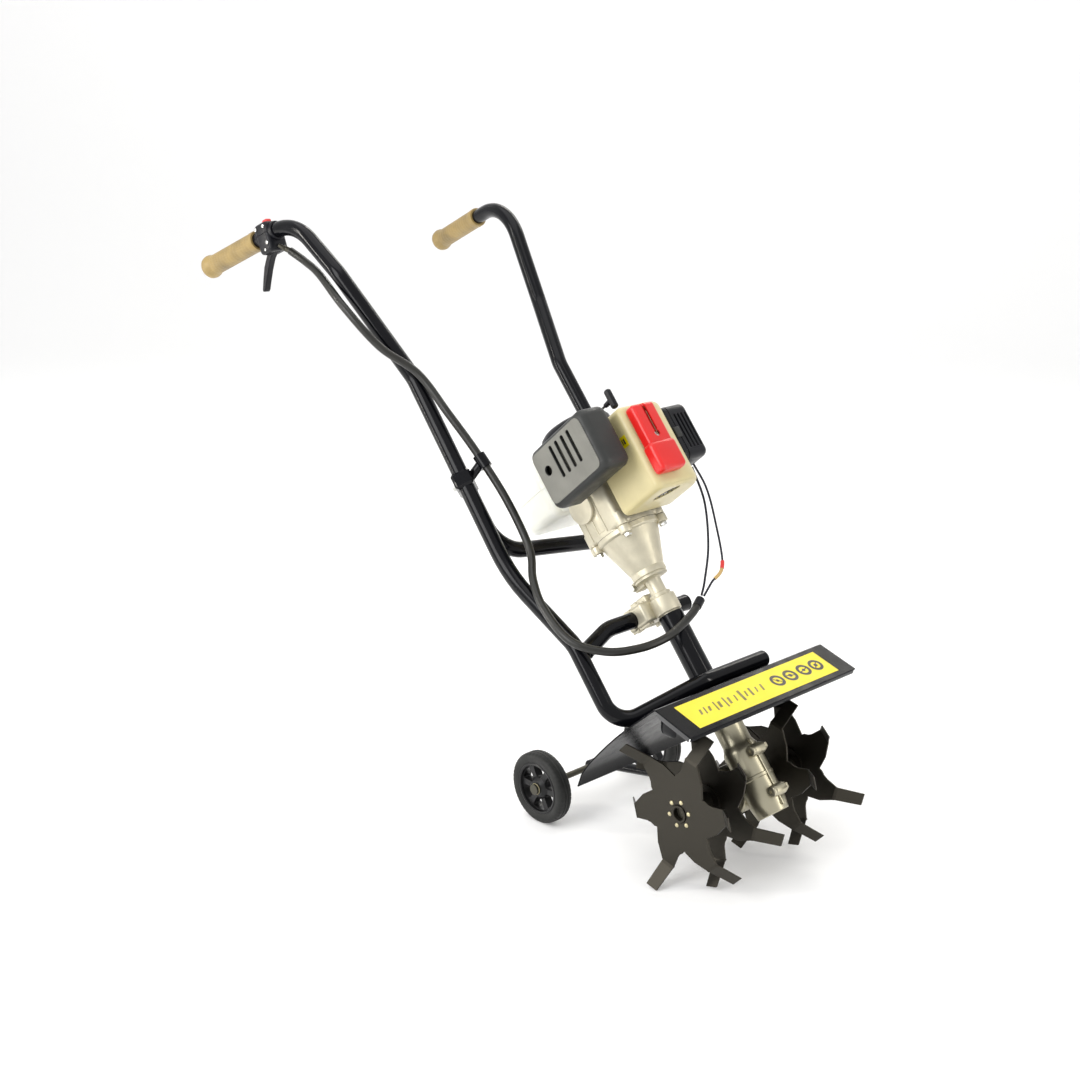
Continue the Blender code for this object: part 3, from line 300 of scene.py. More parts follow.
def sheet(line, way):
    """An open line of points drawn out along a vector, without thickness."""
    bm = bmesh.new()
    row = [bm.verts.new(point) for point in line]
    edges = [bm.edges.new(pair) for pair in zip(row, row[1:])]
    drawn_out(bm, bmesh.ops.extrude_edge_only(bm, edges=edges), way)
    bmesh.ops.recalc_face_normals(bm, faces=bm.faces)
    return bm


def circle(radius, sides):
    """A round outline for a plate."""
    return [(radius * cos(2 * pi * i / sides), radius * sin(2 * pi * i / sides)) for i in range(sides)]


def swept(path, radius, rounds=7):
    """A round bar along a path, with flat ends."""
    curve = bpy.data.curves.new("path", "CURVE")
    curve.dimensions = "3D"
    spline = curve.splines.new("POLY")
    spline.points.add(len(path) - 1)
    for point, place in zip(spline.points, path):
        point.co = (*place, 1.0)
    curve.bevel_depth = radius
    curve.bevel_resolution = rounds
    curve.use_fill_caps = True
    return taken(bpy.data.objects.new("path", curve))


def taken(obj):
    """The finished mesh of a throwaway object, as a bmesh."""
    bpy.context.scene.collection.objects.link(obj)
    bpy.context.view_layer.update()
    mesh = bpy.data.meshes.new_from_object(obj.evaluated_get(bpy.context.evaluated_depsgraph_get()))
    bm = bmesh.new()
    bm.from_mesh(mesh)
    bmesh.ops.remove_doubles(bm, verts=bm.verts, dist=MERGE)
    bpy.data.meshes.remove(mesh)
    bpy.data.objects.remove(obj)
    return bm


def as_object(bm, name="shape"):
    """An unlinked object of a shape, its faces pointing outwards."""
    bmesh.ops.recalc_face_normals(bm, faces=bm.faces)
    mesh = bpy.data.meshes.new(name)
    bm.to_mesh(mesh)
    bm.free()
    return bpy.data.objects.new(name, mesh)


def carve(base, *tools, add=False):
    """The base without the tools, or with them added."""
    made = as_object(base)
    others = [as_object(tool) for tool in tools]
    for other in others:
        bpy.context.scene.collection.objects.link(other)
        change = made.modifiers.new("change", "BOOLEAN")
        change.operation = "UNION" if add else "DIFFERENCE"
        change.solver = "EXACT"
        change.object = other
    result = taken(made)
    for other in others:
        bpy.data.objects.remove(other)
    return result


def joined(*shapes):
    """Several shapes in one mesh, each left whole."""
    first = shapes[0]
    for shape in shapes[1:]:
        mesh = bpy.data.meshes.new("shape")
        shape.to_mesh(mesh)
        shape.free()
        first.from_mesh(mesh)
        bpy.data.meshes.remove(mesh)
    return first


def moved(bm, matrix):
    """The shape put in another place."""
    bmesh.ops.transform(bm, matrix=matrix, verts=bm.verts)
    return bm


def publish(name, bm, look, body=CHASSIS, stands_for=(), place=DRIVE, edge=0.0, sharp=35):
    """Make a finished piece: placed in its mesh, shaded, given its look, and riding on its body."""
    moved(bm, place)
    bmesh.ops.remove_doubles(bm, verts=bm.verts, dist=MERGE)
    piece = as_object(bm, name)
    piece.data.shade_smooth()
    piece.data.set_sharp_from_angle(angle=radians(sharp))
    piece.data.materials.append(finish(look))
    bpy.context.scene.collection.objects.link(piece)
    if edge:
        soften = piece.modifiers.new("soft_edges", "BEVEL")
        soften.width = edge
        soften.segments = 2
        soften.limit_method = "ANGLE"
        soften.angle_limit = radians(35)
        soften.harden_normals = True
    nodes = [stands_for] if isinstance(stands_for, str) else list(stands_for)
    if nodes:
        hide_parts(*nodes)
    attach(piece, body)
    return piece


# ---- paths ----
def filleted(points, bends, per_bend=16):
    """A path's points with its corners rounded; one bend radius for each corner."""
    points = [Vector(p) for p in points]
    path = [points[0]]
    for before, corner, after, bend in zip(points, points[1:], points[2:], bends):
        a, b = (before - corner).normalized(), (after - corner).normalized()
        half = a.angle(b) / 2
        room = min((before - corner).length, (after - corner).length) * 0.48
        back = min(bend / max(sin(half), 0.05) * cos(half), room)
        radius = back * sin(half) / cos(half)
        centre = corner + (a + b).normalized() * (radius / sin(half))
        start, end = corner + a * back - centre, corner + b * back - centre
        whole = start.angle(end)
        count = max(5, round(whole / radians(90) * per_bend) + 1)
        for i in range(count + 1):
            t = i / count
            path.append(centre + (start * sin((1 - t) * whole) + end * sin(t * whole)) / sin(whole))
    return path + [points[-1]]


def flowing(points, step):
    """Points about a step apart on a smooth curve through the given points."""
    points = [Vector(p) for p in points]
    ends = [points[0] * 2 - points[1]] + points + [points[-1] * 2 - points[-2]]
    path = []
    for p0, p1, p2, p3 in zip(ends, ends[1:], ends[2:], ends[3:]):
        count = max(1, round((p2 - p1).length / step))
        for i in range(count):
            t = i / count
            bend = (p0 * 2 - p1 * 5 + p2 * 4 - p3) * t * t + (p1 * 3 - p0 - p2 * 3 + p3) * t * t * t
            path.append((p1 * 2 + (p2 - p0) * t + bend) / 2)
    return path + [points[-1]]


# ---- points of the machine, in the drive frame unless they say otherwise ----
RIGHT_TOP = Vector((-0.116, -0.2185, 0.7855))
LEFT_TOP = Vector((-0.118, 0.2195, 0.786))
RIGHT_END = Vector((-0.3414, -0.245, 0.8534))
LEFT_END = Vector((-0.3414, 0.245, 0.8534))
GRIP_WAY = (RIGHT_TOP - RIGHT_END).normalized()
LEG_X, LEG_Y = -0.0425, -0.157
FOOT_X, FOOT_Z = 0.0318, -0.1385
J_X, J_Y = -0.128, -0.1352  # where the left handle ends beside the right one
BRACE_Z = -0.0045
TINE_AT = Vector((0.4271, 0.0, 0.121))  # the tine shaft, in the world
SHAFT_X, SHAFT_Z = -0.0432, -0.2898  # the same shaft in the drive frame
GEAR_BOLT_X, GEAR_BOLTS_Z = 0.0335, (-0.256, -0.32)
AXLE_X, AXLE_Z = 0.1395, 0.057  # in the world
ROPE_Z = 0.29
SHEATH_RUN = (
    (-0.164, -0.213, 0.761), (-0.1431, -0.212, 0.7258), (-0.1176, -0.2186, 0.686), (-0.0881, -0.2272, 0.6082),
    (-0.0858, -0.2006, 0.5316), (-0.0781, -0.1632, 0.4724), (-0.0745, -0.1476, 0.396), (-0.0735, -0.133, 0.3245),
    (-0.071, -0.124, 0.2394), (-0.072, -0.126, 0.156), (-0.066, -0.152, 0.106), (-0.052, -0.17, 0.056),
    (-0.027, -0.174, -0.006), (-0.002, -0.145, -0.043), (0.02, -0.105, -0.059), (0.03, -0.06, -0.06),
    (0.03, -0.02, -0.05), (0.0305, 0.015, -0.037), (0.03, 0.04, -0.023),
)
THROTTLE_RUN = (
    (0.0302, 0.0463, -0.0174), (0.033, 0.064, 0.002), (0.048, 0.09, 0.0475), (0.07, 0.104, 0.108),
    (0.086, 0.099, 0.162),
)
WIRE_RUN = (
    (0.0345, 0.0452, -0.0208), (0.048, 0.06, -0.0075), (0.061, 0.084, 0.0096), (0.07, 0.106, 0.077),
    (0.087, 0.104, 0.124), (0.099, 0.091, 0.162),
)


# ---- sizes and colours a user may change ----
class TillerSizes(bpy.types.PropertyGroup):
    """Sizes of the finished pieces."""

    tube_radius: FloatProperty(name="Handle tube radius", description="Outside radius of the bent handle tubes",
                               default=0.0125, min=0.005, max=0.03, unit="LENGTH")
    drive_radius: FloatProperty(name="Drive tube radius", description="Outside radius of the leaning drive tube",
                                default=0.019, min=0.01, max=0.04, unit="LENGTH")
    sheath_radius: FloatProperty(name="Sheath radius", description="Outside radius of the control sheath",
                                 default=0.0062, min=0.002, max=0.01, unit="LENGTH")
    tine_radius: FloatProperty(name="Rotor radius", description="Reach of a blade tip from the tine shaft",
                               default=0.1205, min=0.08, max=0.2, unit="LENGTH")
    tip_reach: FloatProperty(name="Tip bend", description="How far a blade tip stands out of its plate",
                             default=0.027, min=0.0, max=0.04, unit="LENGTH")
    wheel_radius: FloatProperty(name="Wheel radius", description="Outside radius of a transport wheel",
                                default=0.057, min=0.03, max=0.1, unit="LENGTH")
    blades: IntProperty(name="Blades", description="Blades on each rotor", default=6, min=3, max=10)
    spokes: IntProperty(name="Spokes", description="Spokes in each wheel's rim", default=6, min=3, max=12)


class TillerStage(bpy.types.PropertyGroup):
    """Floor, light and camera."""

    floor_color: FloatVectorProperty(name="Floor", description="Colour of the floor and backdrop", subtype="COLOR",
                                     default=(0.93, 0.93, 0.93), min=0.0, max=1.0)
    light_power: FloatProperty(name="Light", description="Power of the main soft light", default=34.0, min=0.0,
                               unit="POWER")
    lens: FloatProperty(name="Lens", description="Focal length on a 36 mm wide sensor, in millimetres",
                        default=54.15, min=20.0, max=200.0)


class PieceOperator:
    """An operator that builds its pieces with the scene's sizes."""

    bl_options = {"REGISTER", "UNDO"}

    def execute(self, context):
        self.build(context.scene.tiller_sizes)
        return {"FINISHED"}


class TILLER_OT_stage(bpy.types.Operator):
    """Lay the floor and backdrop, and place the lights and the camera"""

    bl_idname = "tiller.stage"
    bl_label = "Stage"

    def execute(self, context):
        scene, stage = context.scene, context.scene.tiller_stage
        pale = bpy.data.materials.new("pale_floor")
        pale.use_nodes = True
        shader = pale.node_tree.nodes["Principled BSDF"]
        shader.inputs["Base Color"].default_value = (*stage.floor_color, 1.0)
        shader.inputs["Roughness"].default_value = 0.85
        shader.inputs["Emission Color"].default_value = (1.0, 1.0, 1.0, 1.0)
        shader.inputs["Emission Strength"].default_value = 0.07
        behind, bend, half_width = 3.2, 1.2, 7.0
        line = [(-4.5, 0.0)]
        line += [(behind + bend * sin(radians(a)), bend - bend * cos(radians(a))) for a in range(0, 91, 9)]
        line.append((behind + bend, 6.0))
        bm = sheet([(-half_width, y, z) for y, z in line], (2 * half_width, 0, 0))
        floor = as_object(moved(bm, Matrix.Rotation(radians(42.35), 4, "Z")), "floor")
        floor.data.shade_smooth()
        floor.data.materials.append(pale)
        scene.collection.objects.link(floor)

        world = bpy.data.worlds.new("studio")
        scene.world = world
        world.use_nodes = True
        sky = world.node_tree.nodes["Background"]
        sky.inputs["Color"].default_value = (1.0, 1.0, 1.0, 1.0)
        sky.inputs["Strength"].default_value = 0.8
        middle, power = Vector((0.1, 0.0, 0.4)), stage.light_power
        for name, spot, wide, tall, watts in (
            ("key", (0.1, -2.3, 1.5), 1.2, 1.6, power),
            ("left_strip", (-1.5, -2.0, 1.0), 0.1, 2.2, power * 0.75),
            ("right_strip", (2.3, 0.9, 1.1), 0.1, 2.2, power * 0.45),
            ("rear_strip", (-0.9, 1.9, 2.1), 2.0, 0.12, power * 0.45),
            ("top", (-0.2, -0.2, 2.9), 2.4, 2.4, power * 0.7),
        ):
            lamp = bpy.data.lights.new(name, "AREA")
            lamp.shape = "RECTANGLE"
            lamp.size, lamp.size_y = wide, tall
            lamp.energy = watts
            lamp.color = (1.0, 0.965, 0.9) if name.endswith("strip") else (1.0, 1.0, 1.0)
            made = bpy.data.objects.new(name, lamp)
            made.location = spot
            made.rotation_euler = (middle - Vector(spot)).to_track_quat("-Z", "Y").to_euler()
            scene.collection.objects.link(made)

        lens = bpy.data.cameras.new("camera")
        lens.lens = stage.lens
        lens.sensor_width = 36.0
        camera = bpy.data.objects.new("camera", lens)
        target = Vector((0.0, 0.0, 0.398))
        around, above, away = radians(47.65), radians(18.14), 2.589
        spot = target + away * Vector((sin(around) * cos(above), -cos(around) * cos(above), sin(above)))
        camera.location = spot
        camera.rotation_euler = (target - spot).to_track_quat("-Z", "Y").to_euler()
        scene.collection.objects.link(camera)
        scene.camera = camera
        scene.view_settings.view_transform = "Standard"
        return {"FINISHED"}


class TILLER_OT_handles(PieceOperator, bpy.types.Operator):
    """Bend the two handle tubes and the brace tube"""

    bl_idname = "tiller.handles"
    bl_label = "Handles"

    def build(self, sizes):
        radius = sizes.tube_radius
        right = filleted(
            ((FOOT_X, 0.096, FOOT_Z), (FOOT_X, -0.034, FOOT_Z), (LEG_X, LEG_Y, FOOT_Z - 0.005),
             (LEG_X, LEG_Y, -0.012), (-0.104, LEG_Y, 0.133), (-0.099, LEG_Y, 0.475),
             (-0.0835, -0.212, 0.665), RIGHT_TOP,
             RIGHT_END + (RIGHT_TOP - RIGHT_END).normalized() * 0.006),
            (0.052, 0.036, 0.052, 0.2, 0.052, 0.052, 0.085),
        )
        left = filleted(
            ((J_X, J_Y, 0.318), (J_X, J_Y, 0.18), (J_X, 0.165, 0.1385), (-0.133, 0.168, 0.47),
             (-0.138, 0.1985, 0.595), LEFT_TOP, LEFT_END + (LEFT_TOP - LEFT_END).normalized() * 0.006),
            (0.052, 0.052, 0.052, 0.052, 0.085),
        )
        publish("right_handle", swept(right, radius, 9), "gloss_black_enamel", stands_for="right_handle_tube")
        publish("left_handle", swept(left, radius, 9), "gloss_black_enamel", stands_for="left_handle_tube")
        # the closed end of the foot, domed
        dome = [(radius * cos(radians(a)), 0.0065 * sin(radians(a))) for a in (90, 75, 60, 45, 30, 15, 0)]
        cap = moved(lathe([(max(r, 0.0), z) for r, z in dome] + [(radius, -0.0006), (0, -0.0006)], 40),
                    placed((FOOT_X, 0.0965, FOOT_Z), -90))
        publish("foot_cap", cap, "gloss_black_enamel")
        brace = filleted(((LEG_X, 0.08, BRACE_Z), (LEG_X, -0.086, BRACE_Z), (LEG_X, LEG_Y + 0.0131, -0.026)),
                         (0.07,), 24)
        brace = carve(swept(brace, radius, 9), swept(right, radius + 0.0003, 9))
        publish("brace", brace, "gloss_black_enamel", stands_for="brace_tube")
        plug = lathe(((0, 0.0046), (0.009, 0.0044), (0.0112, 0.0036), (0.0126, 0.0022), (0.0129, 0.0003),
                      (0, 0.0003)))
        publish("brace_plug", moved(plug, placed((LEG_X, 0.08, BRACE_Z), -90)), "black_moulding",
                stands_for="brace_end_plug")
        # weld beads where the foot and the brace meet other tubes
        bead_foot = bead(Vector((0.0186, 0.0, FOOT_Z)), Vector((1, 0, 0)), 0.0088, 0.0019, 26)
        bead_leg = bead(Vector((LEG_X, LEG_Y + 0.0124, -0.0255)), Vector((0, 1, -0.3)), 0.0117, 0.0016, 30)
        publish("foot_weld", bead_foot, "gloss_black_enamel")
        publish("brace_weld", bead_leg, "gloss_black_enamel")


def bead(middle, axis, radius, thick, lumps):
    """A ring of weld: a turned ring whose section swells and thins along it."""
    section = [(radius + thick * cos(radians(a)), thick * 0.8 * sin(radians(a))) for a in range(0, 360, 45)]
    bm = fluted(lathe(section, lumps * 4, True), lambda x, y, z: -0.02 * cos(lumps * atan2(y, x)))
    return moved(bm, Matrix.Translation(middle) @ turned_to(axis))


class TILLER_OT_grips(PieceOperator, bpy.types.Operator):
    """Turn the two fluted hand grips"""

    bl_idname = "tiller.grips"
    bl_label = "Grips"

    def build(self, sizes):
        bore, long = sizes.tube_radius + 0.0002, 0.142
        profile = [(0, 0.0004), (0.013, 0.0), (0.0165, 0.0012), (0.0186, 0.0042), (0.0193, 0.0085),
                   (0.0187, 0.0128), (0.0172, 0.0165), (0.0163, 0.0205)]
        profile += [(0.0163, 0.0205 + 0.0018 * i) for i in range(1, 60)]
        profile += [(0.0164, 0.129), (0.0168, 0.132), (0.0168, 0.1395), (0.016, long), (bore, long),
                    (bore, 0.006), (0, 0.006)]

        def knurl(x, y, z):
            if not (0.021 < z < 0.1285 and x * x + y * y > 0.0002):
                return 0
            around = atan2(y, x)
            return 0.045 * max(0.0, cos(16 * around + 420 * z) * cos(16 * around - 420 * z))

        for name, end, top in (("right_grip", RIGHT_END, RIGHT_TOP), ("left_grip", LEFT_END, LEFT_TOP)):
            grip = moved(fluted(lathe(profile, 144), knurl), Matrix.Translation(end) @ turned_to(top - end))
            publish(f"{name}_sleeve", grip, "grip_rubber", stands_for=name, sharp=50)


class TILLER_OT_throttle(PieceOperator, bpy.types.Operator):
    """Shape the throttle housing, its trigger, the stop switch and their screws"""

    bl_idname = "tiller.throttle"
    bl_label = "Throttle"

    def build(self, sizes):
        place = DRIVE @ Matrix.Translation(RIGHT_END + GRIP_WAY * 0.173) @ turned_to(GRIP_WAY, (1, 0, 0))
        body = rounded((-0.0155, -0.018, -0.031), (0.0155, 0.018, 0.018), 0.0062, 5)
        nose = rod((-0.0215, 0, 0), (0.0215, 0, 0), 0.0152, 48, edge=0.0015)
        body = carve(body, nose, add=True)
        body = carve(
            body,
            rod((-0.05, 0, 0), (0.05, 0, 0), sizes.tube_radius + 0.0002, 56),
            rounded((-0.03, -0.0065, -0.04), (0.0078, 0.0065, -0.0165), 0.001, 2),
            rounded((-0.0106, -0.0053, 0.015), (0.0063, 0.0053, 0.025), 0.0008, 2),
            rounded((-0.04, -0.019, -0.0004), (0.04, -0.015, 0.0004)),
            rounded((-0.04, 0.015, -0.0004), (0.04, 0.019, 0.0004)),
        )
        publish("throttle_body", body, "black_moulding", stands_for="throttle_housing", place=place, edge=0.0004)
        pin = cross_rod(0, -0.025, 0.0183, 0.0021, 24, 0.0005)
        publish("trigger_pin", pin, "zinc_plate", place=place)
        screws = [rod((x, -0.0181, z), (x, -0.0198, z), 0.003, 28, edge=0.0006)
                  for x, z in ((-0.0098, 0.0105), (0.0098, 0.0105), (0.0098, -0.016))]
        publish("throttle_screws", joined(*screws), "zinc_plate", place=place)
        blade = ((0.005, 0.0035), (0.004, -0.005), (-0.008, -0.0125), (-0.021, -0.027), (-0.033, -0.043),
                 (-0.0405, -0.0535), (-0.044, -0.056), (-0.0478, -0.0545), (-0.0472, -0.0515), (-0.04, -0.038),
                 (-0.029, -0.02), (-0.016, -0.006), (-0.006, 0.004), (0.001, 0.0056))
        trigger = moved(plate(blade, 0.0115), placed((0, 0, -0.025), 90))
        publish("trigger_blade", trigger, "black_moulding", "trigger", stands_for="throttle_trigger", place=place,
                edge=0.0016)
        publish("switch_key", rounded((-0.006, -0.005, 0.0153), (0.006, 0.005, 0.0235), 0.0016, 3),
                "connector_red", "switch", stands_for="stop_switch", place=place)
        ribs = [rounded((x - 0.0005, -0.0042, 0.0233), (x + 0.0005, 0.0042, 0.024), 0.0002, 1)
                for x in (-0.0032, -0.001, 0.0012, 0.0034)]
        publish("switch_ribs", joined(*ribs), "connector_red", "switch", place=place)
        clip = rod((-0.02, 0.001, 0.0165), (-0.0255, 0.001, 0.0205), 0.0022, 24, edge=0.0006)
        publish("housing_bolt", clip, "zinc_plate", place=place)


class TILLER_OT_cables(PieceOperator, bpy.types.Operator):
    """Run the control sheath, the throttle cable and the stop wire with its connectors"""

    bl_idname = "tiller.cables"
    bl_label = "Cables"

    def build(self, sizes):
        sheath = self.lay("control_sheath", SHEATH_RUN, 0.006, sizes.sheath_radius, "sheath_vinyl",
                          "cable_sheath")
        self.lay("carburettor_cable", THROTTLE_RUN, 0.004, 0.0018, "wire_vinyl", "throttle_cable")
        wire = self.lay("ignition_wire", WIRE_RUN, 0.004, 0.0017, "wire_vinyl", "stop_wire")
        boot = swept(sheath[-4:], sizes.sheath_radius + 0.0009, 6)
        publish("sheath_boot", boot, "black_moulding", sharp=60)
        corner = min(range(len(wire)), key=lambda i: (wire[i] - Vector(WIRE_RUN[2])).length)
        publish("wire_joint", swept(wire[corner - 1:corner + 3], 0.0031, 6), "connector_red")
        publish("bullet_sleeve", swept(wire[corner - 6:corner], 0.0027, 6), "connector_tan")
        # a control wire and its adjuster, between the throttle housing and the sheath's mouth
        mouth, case = sheath[0], RIGHT_END + GRIP_WAY * 0.183 + Vector((0.0, 0.0, -0.027))
        way = (mouth - case).normalized()
        adjuster = joined(rod(case - way * 0.004, case + way * 0.01, 0.0032, 28, edge=0.0006),
                          rod(case + way * 0.004, case + way * 0.007, 0.005, 6, edge=0.0005),
                          rod(mouth - way * 0.01, mouth + way * 0.002, 0.0045, 28, edge=0.001))
        publish("cable_adjuster", adjuster, "dark_steel")
        core = swept([case, mouth + way * 0.002], 0.0016, 5)
        publish("adjuster_cable", core, "wire_vinyl")

    def lay(self, name, run, step, radius, look, node):
        path = flowing(run, step)
        piece = publish(name, swept(path, radius, 6), look, stands_for=node, sharp=60)
        return path


class TILLER_OT_drive_line(PieceOperator, bpy.types.Operator):
    """Cast the clutch bell and cross clamp, and turn the drive tube"""

    bl_idname = "tiller.drive_line"
    bl_label = "Drive line"

    def build(self, sizes):
        bell = lathe(
            ((0.05, 0.1183), (0.05, 0.1116), (0.0488, 0.11), (0.0462, 0.1085), (0.045, 0.1055), (0.044, 0.1),
             (0.028, 0.0535), (0.0268, 0.0515), (0.0272, 0.0505), (0.0272, 0.0425), (0.0265, 0.0418), (0.0252, 0.0412),
             (0.0252, 0.0402), (0.0262, 0.0396), (0.0262, 0.0376), (0.015, 0.0366), (0.0128, 0.0345), (0.0124, 0.032),
             (0.0124, 0.015), (0.013, 0.0128), (0.0165, 0.0116), (0.0165, -0.0335), (0.0155, -0.035),
             (0.0075, -0.035), (0.0075, 0.05), (0.019, 0.055), (0.0365, 0.098), (0.0385, 0.1183)),
            96, True,
        )
        extras = [post(x, y, 0.106, 0.1183, 0.0095, 40, 0.0012) for x, y in ring_of(4, BOLT_RING, 45)]
        holes = [post(x, y, 0.09, 0.145, 0.0028, 24) for x, y in ring_of(4, BOLT_RING, 45)]
        extras.append(rounded((-0.035, -0.011, 0.031), (-0.01, 0.011, 0.047), 0.0025, 3))
        bell = carve(bell, *extras, add=True)
        holes.append(rounded((-0.04, -0.0012, 0.02), (-0.009, 0.0012, 0.0485)))
        holes.append(cross_rod(-0.03, 0.0385, 0.03, 0.0028, 24))
        bell = carve(bell, *holes)
        publish("bell_casting", bell, "die_cast", stands_for="clutch_bell", sharp=32)
        gasket = lathe(((0.0497, 0.1184), (0.0503, 0.1184), (0.0503, 0.1188), (0.0497, 0.1188)), 64, True)
        publish("bell_gasket", gasket, "dark_steel")
        radius = sizes.drive_radius
        tube = lathe(((radius - 0.0006, -0.0225), (radius, -0.0231), (radius, -0.2314), (radius - 0.0006, -0.232),
                      (0.0168, -0.232), (0.0168, -0.0225)), 80, True)
        publish("drive_column", tube, "gloss_black_enamel", stands_for="drive_tube")
        self.clamp_half("clamp_body", "cross_clamp", (-0.0415, -0.012), (-0.0412, -0.019), (-0.0412, -0.018),
                        [post(0, 0, -0.0205, 0.006, 0.0205, 72, 0.0016)], [post(0, 0, -0.05, 0.05, 0.0168, 64)])
        self.clamp_half("clamp_cap", "cross_clamp_cap", (-0.059, -0.0424), (-0.058, -0.0427), (-0.0586, -0.043))

    def clamp_half(self, name, node, body, lip, fin, more=(), less=()):
        """One half of the cross clamp; body, lip and fin give the X span of each."""
        half = rounded((body[0], -0.035, -0.0205), (body[1], 0.035, 0.011), 0.0045, 4)
        rise = rounded((lip[0], -0.013, 0.002), (lip[1], 0.013, 0.022), 0.003, 3)
        fins = [rounded((fin[0], y - 0.0016, -0.0235), (fin[1], y + 0.0016, 0.0135), 0.001, 2)
                for y in (-0.029, -0.02, 0.02, 0.029)]
        half = carve(half, rise, *more, *fins, add=True)
        half = carve(half, *less, cross_rod(LEG_X, BRACE_Z, 0.07, 0.0129, 56),
                     rod((-0.08, 0, 0.0165), (0.0, 0, 0.0165), 0.0028, 24))
        publish(name, half, "die_cast", stands_for=node, edge=0.0005)


def cowl_loop(inset):
    """The engine cowl seen down the drive line, pulled in by a wall; its room runs out at the rear."""
    back = 0.06 if not inset else 0.03
    front, right, left = 0.15 - inset, -0.048 + inset, 0.0543 - inset
    near, far = 0.012 - 0.6 * inset, 0.04 - inset
    loop = [(back, left), (back, right)]
    loop += [(front - near + near * sin(radians(a)), right + near - near * cos(radians(a)))
             for a in range(0, 91, 15)]
    loop += [(front - far + far * cos(radians(a)), left - far + far * sin(radians(a))) for a in range(0, 91, 9)]
    return loop


